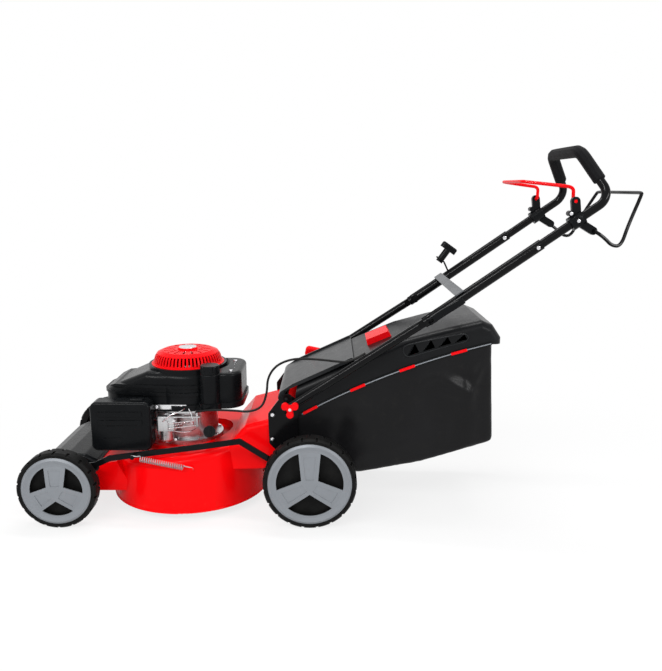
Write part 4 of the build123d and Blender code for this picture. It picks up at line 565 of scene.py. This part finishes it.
def make_heads(name, places, normal, size, body, finish="bright"):
    """Like heads as one piece; size is the radius, the depth and the number of sides."""
    shape = bmesh.new()
    for place in places:
        add_disc(shape, place, normal, *size)
    make_piece(name, shape, body, finish)


def make_blocks(name, blocks, body, finish):
    """Soft-edged blocks as one piece; each block is a centre and a size."""
    shape = bmesh.new()
    for centre, size in blocks:
        add_block(shape, centre, size)
    make_piece(name, shape, body, finish)


def wire(name, points, radius, steps, roundness, closed=False):
    """A smooth round wire with the points as its control points, as a curve."""
    curve = bpy.data.curves.new(name, "CURVE")
    curve.dimensions = "3D"
    spline = curve.splines.new("NURBS")
    spline.points.add(len(points) - 1)
    for point, place in zip(spline.points, points):
        point.co = (*place, 1.0)
    spline.order_u = 3
    spline.use_endpoint_u = not closed
    spline.use_cyclic_u = closed
    spline.resolution_u = steps
    curve.bevel_depth = radius
    curve.bevel_resolution = roundness
    curve.use_fill_caps = True
    made = bpy.data.objects.new(name, curve)
    bpy.context.scene.collection.objects.link(made)
    return made


def pipe(name, points, radius, body, finish, closed=False):
    """A smooth round bar with the points as its control points, as a mesh."""
    line = wire(name + "_line", points, radius, 8, 3, closed)
    bpy.context.view_layer.update()
    mesh = bpy.data.meshes.new_from_object(line.evaluated_get(bpy.context.evaluated_depsgraph_get()))
    bpy.data.curves.remove(line.data)
    shape = bmesh.new()
    shape.from_mesh(mesh)
    bpy.data.meshes.remove(mesh)
    return make_piece(name, shape, body, finish)


CABLE_ROUTE = [
    (-0.3470, -0.1213, 0.2690), (-0.3250, -0.1460, 0.2810), (-0.2810, -0.1600, 0.2870),
    (-0.2360, -0.1660, 0.2870), (-0.2000, -0.1690, 0.2840), (-0.1650, -0.1720, 0.2980),
    (-0.1520, -0.1740, 0.3380), (-0.1500, -0.1750, 0.3780), (-0.1280, -0.1750, 0.4110),
    (-0.0880, -0.1750, 0.4280), (-0.0440, -0.1750, 0.4285), (-0.0020, -0.1750, 0.4250),
    (0.0200, -0.1750, 0.4220), (0.0636, -0.1750, 0.4185), (0.1014, -0.1750, 0.4431),
]
CABLE_RADIUS = 0.003


class MOWER_OT_cable(bpy.types.Operator):
    """Control cable from the engine to the left lower tube"""

    bl_idname = "mower.cable"
    bl_label = "Control cable"

    def execute(self, context):
        cable = wire("control_cable_sleeve", CABLE_ROUTE, CABLE_RADIUS, 12, 4)
        cable.data.materials.append(FINISHES["rubber"])
        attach(cable, "chassis")
        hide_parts("control_cable")
        return {"FINISHED"}


# Outline of the bag's floor and rear in the side view, from the rear to the mouth
BAG_FOOT = [(0.4455, 0.1935), (0.2535, 0.1345), (0.0835, 0.1030), (-0.0205, 0.1375), (-0.0874, 0.1585)]
RIM_STEPS = 10
RIM_DROP = 0.0004
MOUTH_HEM = 0.012
SEAM_ROUND = 0.014

# Axis, first cut, spacing and number of the cuts that make the cloth foldable
CLOTH_CUTS = ((0, -0.080, 0.0080, 66), (1, -0.126, 0.021, 13), (2, 0.116, 0.0080, 44))
CLOTH_MERGE = 0.0012
CLOTH_DIGITS = 6

# Start and end of each fold in the side view, its width and its depth
BAG_FOLDS = (
    ((0.408, 0.416), (0.384, 0.350), 0.012, 0.01100),
    ((0.386, 0.360), (0.377, 0.296), 0.013, 0.01210),
    ((0.300, 0.372), (0.379, 0.326), 0.009, 0.00924),
    ((0.296, 0.342), (0.356, 0.316), 0.009, 0.00792),
    ((0.330, 0.398), (0.398, 0.344), 0.013, -0.00990),
    ((0.232, 0.352), (0.304, 0.386), 0.016, 0.00748),
    ((0.382, 0.286), (0.384, 0.196), 0.016, 0.00748),
    ((0.350, 0.290), (0.340, 0.190), 0.018, -0.00660),
    ((0.300, 0.220), (0.080, 0.160), 0.030, 0.00792),
    ((0.050, 0.270), (0.020, 0.150), 0.024, -0.00770),
)

# Share of the billow by which the side panels sink, and the floor and rear sag
SIDE_SINK = 0.35
FLOOR_SAG = 0.36

# How far below the seam, and behind the mouth, the cloth hangs freely
HANG_DEPTH = 0.05
MOUTH_X = -0.085


def fold_depth(place):
    """How far the folds move the cloth, in metres, at a place on the side panel."""
    total = 0.0
    spot = Vector((place.x, place.z))
    for start, end, width, depth in BAG_FOLDS:
        first = Vector(start)
        run = Vector(end) - first
        share = max(0.0, min(1.0, (spot - first).dot(run) / run.length_squared))
        gap = (spot - first - run * share).length
        fade = math.sin(math.pi * (0.18 + share * 0.64))
        total += depth * fade * math.exp(-((gap / width) ** 2))
    return total + 0.0016 * noise.noise(place * 17.0) + 0.0009 * noise.noise(place * 41.0)


def bag_panels(half):
    """Sewn side, rear and floor panels with rounded seams, open at the lid and at the mouth."""
    shape = bmesh.new()
    rim = [on_seam(SEAM_LENGTH * step / RIM_STEPS, -RIM_DROP, -half) for step in range(RIM_STEPS + 1)]
    foot = [Vector((x, -half, z)) for x, z in BAG_FOOT]
    side = shape.faces.new([shape.verts.new(place) for place in rim + foot])
    grown = bmesh.ops.extrude_face_region(shape, geom=[side])
    moved = [made for made in grown["geom"] if isinstance(made, bmesh.types.BMVert)]
    bmesh.ops.translate(shape, verts=moved, vec=(0, 2 * half, 0))
    bmesh.ops.recalc_face_normals(shape, faces=shape.faces)
    top = [face for face in shape.faces if face.normal.z > 0.8]
    bmesh.ops.delete(shape, geom=top, context="FACES_ONLY")
    front = [face for face in shape.faces if face.normal.x < -0.9]
    bmesh.ops.inset_region(shape, faces=front, thickness=MOUTH_HEM)
    inside = half - 0.01
    mouth = [
        face for face in shape.faces
        if face.normal.x < -0.9 and all(abs(vert.co.y) < inside for vert in face.verts)
    ]
    bmesh.ops.delete(shape, geom=mouth, context="FACES_ONLY")
    seams = [edge for edge in shape.edges if len(edge.link_faces) == 2 and edge.calc_face_angle(0.0) > 0.5]
    bmesh.ops.bevel(
        shape, geom=seams, offset=SEAM_ROUND, segments=3, profile=0.5, affect="EDGES", material=-1
    )
    return shape


def in_fixed_order(shape):
    """The same mesh with its vertices and faces in one order on every run, which cuts don't give."""
    places = {vert: tuple(round(part, CLOTH_DIGITS) for part in vert.co) for vert in shape.verts}
    outlines = []
    for face in shape.faces:
        ring = list(dict.fromkeys(places[vert] for vert in face.verts))
        first = ring.index(min(ring))
        outlines.append(ring[first:] + ring[:first])
    fixed = bmesh.new()
    along = sorted(set(places.values()), key=lambda place: (place[0], place[2], place[1]))
    corners = {place: fixed.verts.new(place) for place in along}
    for ring in sorted(outlines):
        verts = [corners[place] for place in ring]
        if len(verts) > 2 and not fixed.faces.get(verts):
            fixed.faces.new(verts)
    shape.free()
    return fixed


def cut_cloth(shape):
    """The panels cut into small faces, with the vertices that nearly touch merged."""
    for axis, start, gap, count in CLOTH_CUTS:
        across = Vector((axis == 0, axis == 1, axis == 2))
        for cut in range(count):
            bmesh.ops.bisect_plane(
                shape, geom=[*shape.verts, *shape.edges, *shape.faces],
                plane_co=across * (start + gap * cut), plane_no=across,
            )
    cloth = in_fixed_order(shape)
    bmesh.ops.remove_doubles(cloth, verts=cloth.verts, dist=CLOTH_MERGE)
    cloth.normal_update()
    return cloth


def lay_weave(shape):
    """UVs in metres over each panel, for the weave."""
    uv = shape.loops.layers.uv.new("cloth")
    for face in shape.faces:
        flat = max(range(3), key=lambda axis: abs(face.normal[axis]))
        for loop in face.loops:
            loop[uv].uv = [loop.vert.co[axis] for axis in range(3) if axis != flat]


def hang_cloth(shape, half, billow):
    """Folds the side panels and sags the floor and rear, all held at the seam and the mouth."""
    moves = {}
    for vert in shape.verts:
        below = max(0.0, min(1.0, -above_seam(vert.co) / HANG_DEPTH))
        hang = below * max(0.0, min(1.0, (vert.co.x - MOUTH_X) / HANG_DEPTH))
        if abs(vert.co.y) > half - 0.02:
            step = fold_depth(vert.co) - billow * SIDE_SINK
            moves[vert] = Vector((0, math.copysign(1.0, vert.co.y), 0)) * step * hang
        else:
            sag = math.cos(vert.co.y / half * math.pi / 2)
            ripple = 0.0022 * noise.noise(vert.co * 14.0)
            moves[vert] = -vert.normal * (billow * FLOOR_SAG * sag + ripple) * hang
    for vert, move in moves.items():
        vert.co += move
    free = [vert for vert in shape.verts if not vert.is_boundary]
    bmesh.ops.smooth_vert(
        shape, verts=free, factor=0.35, use_axis_x=True, use_axis_y=True, use_axis_z=True
    )


class MOWER_OT_bag(bpy.types.Operator):
    """Soft fabric body of the grass bag, hung from the lid"""

    bl_idname = "mower.bag"
    bl_label = "Bag fabric"

    def execute(self, context):
        sizes = context.scene.mower_bag
        shape = cut_cloth(bag_panels(sizes.half_width))
        lay_weave(shape)
        hang_cloth(shape, sizes.half_width, sizes.billow)
        area = sum(face.calc_area() for face in shape.faces)
        bag = make_piece("bag_cloth_body", shape, "bag", "cloth", angle=1.2)
        wall = bag.modifiers.new("cloth", "SOLIDIFY")
        wall.thickness = sizes.thickness
        wall.offset = -1.0
        soft = bag.modifiers.new("soft", "SUBSURF")
        soft.levels = soft.render_levels = 1
        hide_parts("bag_fabric")
        return {"FINISHED"}


# Runs along the seam and rises above it, on the lid's side wall
LOUVRE_RIM = (
    (0.336, 0.029), (0.380, 0.0275), (0.420, 0.0265), (0.464, 0.025), (0.503, 0.024),
    (0.503, 0.045), (0.464, 0.049), (0.420, 0.0535), (0.380, 0.058), (0.336, 0.063),
)
LOUVRE_START = 0.336
LOUVRE_PITCH = 0.042
LOUVRE_COUNT = 4
BLADE_THICKNESS = 0.0012
BLADE_FOOT = 0.031
BLADE_FOOT_FALL = 0.0012
BLADE_TIP = 0.061
BLADE_TIP_FALL = 0.0052
STRIP_START = 0.030
STRIP_STEP = 0.0526
STRIP_POINTS = 11
STRIP_RISE = 0.0035
STRIP_RADIUS = 0.0015
RIM_RADIUS = 0.0016

# Distances of the lid's trim from the mower's middle
STRIP_Y = 0.1544
RIM_Y = 0.1500
BLADE_FRONT_Y = 0.1486
BLADE_BACK_Y = 0.1400


def louvre_blades(sign):
    """Slanted blades behind one side's louvre openings."""
    blades = bmesh.new()
    front = sign * BLADE_FRONT_Y
    back = sign * BLADE_BACK_Y
    for step in range(LOUVRE_COUNT):
        run = LOUVRE_START + LOUVRE_PITCH * step
        low = BLADE_FOOT - BLADE_FOOT_FALL * step
        high = BLADE_TIP - BLADE_TIP_FALL * step
        corners = (
            on_seam(run + 0.003, low, front), on_seam(run + 0.034, high, front),
            on_seam(run + 0.040, high, back), on_seam(run + 0.012, low, back),
        )
        blades.faces.new([blades.verts.new(place) for place in corners])
    bmesh.ops.solidify(blades, geom=blades.faces[:], thickness=BLADE_THICKNESS)
    return blades


class MOWER_OT_lid(bpy.types.Operator):
    """Seam strips, louvre rims and louvre blades on the bag's lid"""

    bl_idname = "mower.lid"
    bl_label = "Lid details"

    def execute(self, context):
        for side, sign in SIDES:
            strip = [
                on_seam(STRIP_START + STRIP_STEP * step, STRIP_RISE, sign * STRIP_Y)
                for step in range(STRIP_POINTS)
            ]
            pipe(f"seam_strip_{side}", strip, STRIP_RADIUS, "bag", "cap")
            rim = [on_seam(run, rise, sign * RIM_Y) for run, rise in LOUVRE_RIM]
            pipe(f"louvre_rim_{side}", rim, RIM_RADIUS, "bag", "flap", closed=True)
            make_piece(f"louvre_blades_{side}", louvre_blades(sign), "bag", "flap")
        return {"FINISHED"}


TANK_SCREWS = ((-0.2587, 0.0246, 0.3755), (-0.2563, -0.0892, 0.3755))
CARBURETTOR_BOLTS = ((-0.455, -0.112, 0.222), (-0.407, -0.129, 0.246), (-0.431, -0.129, 0.226))
CLEANER_LATCH = (((-0.500, -0.137, 0.3080), (0.034, 0.022, 0.006)),)
CLEANER_RIDGES = (
    ((-0.5565, -0.1592, 0.242), (0.043, 0.0016, 0.0022)),
    ((-0.5645, -0.1592, 0.2096), (0.053, 0.0016, 0.0022)),
)
CONTROL_PLATE = ((-0.421, -0.1114, 0.2800), (0.092, 0.0044, 0.013))
PLATE_SCREWS = ((-0.456, -0.1146, 0.2800), (-0.388, -0.1146, 0.2800))
CONTROL_RODS = {
    "throttle_rod": (
        (-0.436, -0.134, 0.246), (-0.418, -0.139, 0.266), (-0.388, -0.132, 0.272), (-0.378, -0.113, 0.278),
    ),
    "governor_arm": (
        (-0.372, -0.1125, 0.280), (-0.362, -0.118, 0.266), (-0.357, -0.119, 0.240),
        (-0.358, -0.106, 0.222), (-0.362, -0.070, 0.216),
    ),
    "choke_rod": (
        (-0.418, -0.112, 0.214), (-0.392, -0.120, 0.210), (-0.358, -0.114, 0.212), (-0.350, -0.062, 0.214),
    ),
}
ROD_RADIUS = 0.0016
GOVERNOR_START = Vector((-0.428, -0.126, 0.228))
GOVERNOR_REACH = Vector((0.060, 0.008, 0.012))
GOVERNOR_TURNS = 8
GOVERNOR_POINTS = 49
GOVERNOR_RADIUS = 0.0042
GOVERNOR_WIRE = 0.0008
STARTER_DISC = (0.0245, 0.0018, 40)
TANK_SCREW = (0.0055, 0.004, 16)
SMALL_BOLT = (0.0048, 0.004, 6)
FLANGE_BOLT = (0.0055, 0.004, 6)
FLANGE_RADIUS = 0.085
FLANGE_TOP = 0.1790
FLANGE_COUNT = 8
FLANGE_TURN = -110.0


def starter_centre():
    """Middle of the starter cover's top."""
    low, high = (Vector(corner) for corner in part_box("recoil_cover"))
    return Vector(((low.x + high.x) / 2, 0.0, high.z + 0.0007))


def control_plate():
    """Plate that carries the controls, with its two screws."""
    shape = bmesh.new()
    add_block(shape, *CONTROL_PLATE)
    for place in PLATE_SCREWS:
        add_disc(shape, place, (0, -1, 0), *SMALL_BOLT)
    make_piece("control_plate", shape, "chassis", "bright")


def governor_spring():
    """Thin coil between the carburettor and the governor arm."""
    coil = []
    for step in range(GOVERNOR_POINTS):
        share = step / (GOVERNOR_POINTS - 1)
        turn = share * 2 * math.pi * GOVERNOR_TURNS
        round_part = Vector((0.0, math.cos(turn), math.sin(turn))) * GOVERNOR_RADIUS
        coil.append(GOVERNOR_START + GOVERNOR_REACH * share + round_part)
    pipe("governor_spring", coil, GOVERNOR_WIRE, "chassis", "bright")


def flange_bolt_places():
    """Ring of bolts round the engine's foot."""
    centre = pivot("crank")
    for step in range(FLANGE_COUNT):
        angle = math.radians(360.0 / FLANGE_COUNT * step + FLANGE_TURN)
        yield centre.x + FLANGE_RADIUS * math.cos(angle), FLANGE_RADIUS * math.sin(angle), FLANGE_TOP


class MOWER_OT_engine(bpy.types.Operator):
    """Screws, starter disc, latch and linkage on the engine"""

    bl_idname = "mower.engine"
    bl_label = "Engine details"

    def execute(self, context):
        up = (0, 0, 1)
        make_heads("starter_disc", [starter_centre()], up, STARTER_DISC, "chassis")
        make_heads("tank_screws", TANK_SCREWS, up, TANK_SCREW, "chassis")
        make_blocks("cleaner_latch", CLEANER_LATCH, "air_cleaner_cover", "cover")
        make_blocks("cleaner_ridges", CLEANER_RIDGES, "air_cleaner_cover", "cover")
        control_plate()
        for name, points in CONTROL_RODS.items():
            pipe(name, points, ROD_RADIUS, "chassis", "bright")
        governor_spring()
        make_heads("carburettor_bolts", CARBURETTOR_BOLTS, (0, -1, 0), SMALL_BOLT, "chassis")
        make_heads("flange_bolts", flange_bolt_places(), up, FLANGE_BOLT, "chassis")
        return {"FINISHED"}


BRACKET_BOLTS = ((-0.141, 0.207), (-0.140, 0.274))
BRACKET_BOLT = (0.0055, 0.0025, 6)
SLEEVE_BOLT = (0.0048, 0.0022, 16)
CLAMP_SCREW = (0.0045, 0.002, 12)
INNER_BOLT = (0.0055, 0.003, 16)
CLAMP_BOSS = (0.015, 0.009, 28)
KNOB_SCREW = (0.0042, 0.0018, 16)

# Runs along the upper handle
SLEEVE_AT = 0.316
CLAMP_AT = 0.431
SCREW_AT = 0.427
SCREW_RISE = 0.024

# Distances of the heads from the mower's middle
BRACKET_BOLT_Y = 0.1625
SLEEVE_BOLT_Y = 0.1928
SCREW_Y = 0.1855
HUB_SCREW_Y = 0.1930
INNER_BOLT_Y = 0.1605
CLAMP_BOSS_Y = 0.1885
KNOB_SCREW_Y = 0.2018


def handle_bolts(side, sign):
    """Bolts and screws of one upper handle tube and its clamp."""
    shape = bmesh.new()
    outward = (0, sign, 0)
    add_disc(shape, on_handle(SLEEVE_AT, 0.0, sign * SLEEVE_BOLT_Y), outward, *SLEEVE_BOLT)
    add_disc(shape, on_handle(SCREW_AT, SCREW_RISE, sign * SCREW_Y), outward, *CLAMP_SCREW)
    add_disc(shape, on_handle(CLAMP_AT, 0.0, sign * HUB_SCREW_Y), outward, *CLAMP_SCREW)
    for run in (0.0, SLEEVE_AT):
        add_disc(shape, on_handle(run, 0.0, sign * INNER_BOLT_Y), (0, -sign, 0), *INNER_BOLT)
    make_piece(f"handle_bolts_{side}", shape, "upper_handle", "bright")


class MOWER_OT_fasteners(bpy.types.Operator):
    """Bolts and screws of the brackets, tubes and clamps"""

    bl_idname = "mower.fasteners"
    bl_label = "Fasteners"

    def execute(self, context):
        for side, sign in SIDES:
            outward = (0, sign, 0)
            bolts = [(x, sign * BRACKET_BOLT_Y, z) for x, z in BRACKET_BOLTS]
            make_heads(f"bracket_bolts_{side}", bolts, outward, BRACKET_BOLT, "chassis")
            handle_bolts(side, sign)
            boss = on_handle(CLAMP_AT, 0.0, sign * CLAMP_BOSS_Y)
            make_heads(
                f"clamp_boss_{side}", [boss], outward, CLAMP_BOSS, "upper_handle", "cover"
            )
            knob = f"wing_knob_{side}"
            screw = Vector((pivot(knob).x, sign * KNOB_SCREW_Y, pivot(knob).z))
            make_heads(f"knob_screw_{side}", [screw], outward, KNOB_SCREW, knob)
        return {"FINISHED"}


# Left half of each bail, as steps from its pivot along the length and up, and distances from the middle
BAIL_LEGS = {
    "brake_bail": (
        (0.0, -0.180, 0.0), (0.0, -0.1585, 0.0), (0.0, -0.157, 0.012), (0.0, -0.1555, 0.034),
        (-0.030, -0.1515, 0.0375), (-0.108, -0.1115, 0.0473), (-0.114, -0.100, 0.0480),
        (-0.114, -0.060, 0.0480),
    ),
    "drive_bail": (
        (0.0, -0.170, 0.0), (0.0, -0.192, 0.0), (0.024, -0.192, -0.016), (0.044, -0.192, -0.036),
        (0.068, -0.189, -0.036), (0.085, -0.178, 0.012), (0.1225, -0.155, 0.088), (0.124, -0.148, 0.092),
        (0.124, -0.100, 0.092),
    ),
}
BAIL_LOOKS = {"brake_bail": ("red_plastic", "trim"), "drive_bail": ("black_paint", "tube")}
BAIL_RADIUS = 0.0045


def with_mirror(points):
    """Points of a left half, then of the right half that mirrors it."""
    return points + [Vector((place.x, -place.y, place.z)) for place in reversed(points)]


class MOWER_OT_bails(bpy.types.Operator):
    """Both bails as bent wire with round bends, each on its own pivot"""

    bl_idname = "mower.bails"
    bl_label = "Bails"

    def execute(self, context):
        for bail, leg in BAIL_LEGS.items():
            near = [pivot(bail) + Vector(step) for step in leg]
            slot, finish = BAIL_LOOKS[bail]
            bar = pipe(f"{bail}_wire", with_mirror(near), BAIL_RADIUS, bail, finish)
            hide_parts(bail)
        return {"FINISHED"}


GRIP_END = Vector((0.6766, -0.1534, 0.8754))
GRIP_CORNER = Vector((0.635, -0.115, 0.9471))
GRIP_RADIUS = 0.0158


class MOWER_OT_grip(bpy.types.Operator):
    """Foam sleeve of the top grip"""

    bl_idname = "mower.grip"
    bl_label = "Foam grip"

    def execute(self, context):
        half = [
            GRIP_END, GRIP_END.lerp(GRIP_CORNER, 0.45), GRIP_CORNER + Vector((0.006, -0.006, -0.010)),
            GRIP_CORNER + Vector((0.0, 0.010, 0.0)), Vector((GRIP_CORNER.x, -0.06, GRIP_CORNER.z)),
        ]
        route = with_mirror(half)
        route.insert(len(half), Vector((GRIP_CORNER.x, 0.0, 0.9473)))
        grip = pipe("foam_sleeve", route, GRIP_RADIUS, "upper_handle", "foam")
        soft = grip.modifiers.new("rim", "BEVEL")
        soft.width = 0.003
        soft.segments = 3
        soft.limit_method = "ANGLE"
        soft.angle_limit = 1.0
        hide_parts("foam_grip")
        return {"FINISHED"}


class MOWER_OT_spring(bpy.types.Operator):
    """Lift spring that stretches between the chassis and the link bar"""

    bl_idname = "mower.spring"
    bl_label = "Lift spring"

    def execute(self, context):
        shape = bmesh.new()
        shape.from_mesh(NODES["height_spring"].data)
        bmesh.ops.remove_doubles(shape, verts=shape.verts, dist=1e-5)
        spring = make_piece("lift_spring", shape, None, "coil")
        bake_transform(spring)
        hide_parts("height_spring")
        return {"FINISHED"}


class MOWER_OT_finishes(bpy.types.Operator):
    """Finishes for every CAD node"""

    bl_idname = "mower.finishes"
    bl_label = "Finishes"

    def execute(self, context):
        for finish, names in NODE_FINISH.items():
            for name in names:
                node = NODES[name]
                node.data.materials.clear()
                node.data.materials.append(FINISHES[finish])
        return {"FINISHED"}


# Name, level, place, aim and size of each lamp
LAMPS = (
    ("key_lamp", "key_power", (-1.7, -2.7, 2.7), (-0.25, 0.0, 0.35), (3.4, 0.26)),
    ("fill_lamp", "fill_power", (2.6, -2.2, 1.9), (0.2, 0.0, 0.4), (1.6, 0.40)),
    ("top_lamp", "top_power", (0.1, 0.5, 3.2), (0.0, 0.0, 0.3), (3.0, 0.36)),
)
FLOOR_RADIUS = 14.0
FLOOR_WHITE = (0.82, 0.82, 0.82)
SHADOW_NEAR = 0.7
SHADOW_FAR = 1.5

# The view: the focal length and the longer side of the picture in pixels, the place and the tilt in degrees
FOCAL_PIXELS = 720.0
PICTURE_PIXELS = 671.0
SENSOR_WIDTH = 36.0
CAMERA_PLACE = (0.0135, -1.9689, 0.8593)
CAMERA_TILT = 11.654


def white_rays(nodes):
    """1 for the rays that see the background as plain white."""
    path = nodes.raw("ShaderNodeLightPath", {}, {}).outputs
    share = Value(nodes, path["Is Camera Ray"])
    for kind in ("Is Glossy Ray", "Is Transmission Ray"):
        share = share.maths("MAXIMUM", path[kind])
    return share


def floor_paint(shadow):
    """White floor that keeps a soft shadow near the mower and fades to plain white."""
    material = bpy.data.materials.new("studio_floor_white")
    material.use_nodes = True
    material.node_tree.nodes.clear()
    nodes = Nodes(material.node_tree)
    matt = nodes.raw("ShaderNodeBsdfDiffuse", {}, {"Color": FLOOR_WHITE})
    glow = nodes.raw("ShaderNodeEmission", {}, {})
    place = nodes.raw("ShaderNodeTexCoord", {}, {}).outputs["Object"]
    reach = nodes.node("ShaderNodeVectorMath", {"operation": "LENGTH"}, {0: place}, output="Value")
    plain = nodes.node(
        "ShaderNodeMapRange", {"interpolation_type": "SMOOTHSTEP"},
        {
            "Value": reach, "From Min": SHADOW_NEAR, "From Max": SHADOW_FAR, "To Min": 1.0 - shadow,
            "To Max": 1.0,
        },
    )
    mix = nodes.raw(
        "ShaderNodeMixShader", {}, {0: white_rays(nodes) * plain, 1: matt.outputs[0], 2: glow.outputs[0]}
    )
    nodes.raw("ShaderNodeOutputMaterial", {}, {"Surface": mix.outputs[0]})
    return material


def add_floor(scene, shadow):
    """Round white floor."""
    floor = bmesh.new()
    bmesh.ops.create_circle(floor, cap_ends=True, segments=96, radius=FLOOR_RADIUS)
    mesh = bpy.data.meshes.new("studio_floor")
    floor.to_mesh(mesh)
    floor.free()
    ground = bpy.data.objects.new("studio_floor", mesh)
    scene.collection.objects.link(ground)
    mesh.materials.append(floor_paint(shadow))


def add_lamps(scene, levels):
    """Long narrow lamps, for thin highlights on the gloss."""
    for name, level, place, aim, size in LAMPS:
        light = bpy.data.lights.new(name, "AREA")
        light.energy = getattr(levels, level)
        light.shape = "RECTANGLE"
        light.size, light.size_y = size
        lamp = bpy.data.objects.new(name, light)
        lamp.location = place
        lamp.rotation_euler = (Vector(aim) - Vector(place)).to_track_quat("-Z", "Y").to_euler()
        scene.collection.objects.link(lamp)


def add_sky(scene, level):
    """Even light that the camera and mirrors see as white."""
    world = bpy.data.worlds.new("studio_sky")
    world.use_nodes = True
    scene.world = world
    nodes = Nodes(world.node_tree)
    strength = nodes.node(
        "ShaderNodeMapRange", {}, {"Value": white_rays(nodes), "To Min": level, "To Max": 1.0}
    )
    back = world.node_tree.nodes["Background"]
    nodes.feed(back.inputs["Color"], (1.0, 1.0, 1.0))
    nodes.feed(back.inputs["Strength"], strength)


def add_camera(scene):
    """Camera at the photograph's viewing angle."""
    lens = bpy.data.cameras.new("photo_camera")
    lens.sensor_width = SENSOR_WIDTH
    lens.lens = SENSOR_WIDTH * FOCAL_PIXELS / PICTURE_PIXELS
    camera = bpy.data.objects.new("photo_camera", lens)
    camera.location = CAMERA_PLACE
    camera.rotation_euler = (math.radians(90.0 - CAMERA_TILT), 0.0, 0.0)
    scene.collection.objects.link(camera)
    scene.camera = camera


class MOWER_OT_stage(bpy.types.Operator):
    """Floor, lamps, sky and camera"""

    bl_idname = "mower.stage"
    bl_label = "Studio"

    def execute(self, context):
        scene = context.scene
        levels = scene.mower_studio
        add_floor(scene, levels.shadow)
        add_lamps(scene, levels)
        add_sky(scene, levels.sky)
        add_camera(scene)
        scene.view_settings.view_transform = "Standard"
        return {"FINISHED"}


class MOWER_PT_panel(bpy.types.Panel):
    """Steps that dress the mower"""

    bl_label = "Mower"
    bl_space_type = "VIEW_3D"
    bl_region_type = "UI"
    bl_category = "Mower"

    def draw(self, context):
        for step in STEPS:
            self.layout.operator(step.bl_idname)


STEPS = (
    MOWER_OT_stage, MOWER_OT_cable, MOWER_OT_finishes, MOWER_OT_bag, MOWER_OT_lid, MOWER_OT_engine,
    MOWER_OT_fasteners, MOWER_OT_bails, MOWER_OT_grip, MOWER_OT_spring,
)
GROUPS = {"mower_paint": PaintSettings, "mower_bag": BagSettings, "mower_studio": StudioSettings}


def register():
    for group, kind in GROUPS.items():
        bpy.utils.register_class(kind)
        setattr(bpy.types.Scene, group, bpy.props.PointerProperty(type=kind))
    for kind in (*STEPS, MOWER_PT_panel):
        bpy.utils.register_class(kind)


def unregister():
    for kind in (MOWER_PT_panel, *reversed(STEPS)):
        bpy.utils.unregister_class(kind)
    for group, kind in GROUPS.items():
        delattr(bpy.types.Scene, group)
        bpy.utils.unregister_class(kind)


def main():
    register()
    build_finishes(bpy.context.scene)
    for step in STEPS:
        group, name = step.bl_idname.split(".")
        getattr(getattr(bpy.ops, group), name)()


if __name__ == "__main__":
    main()
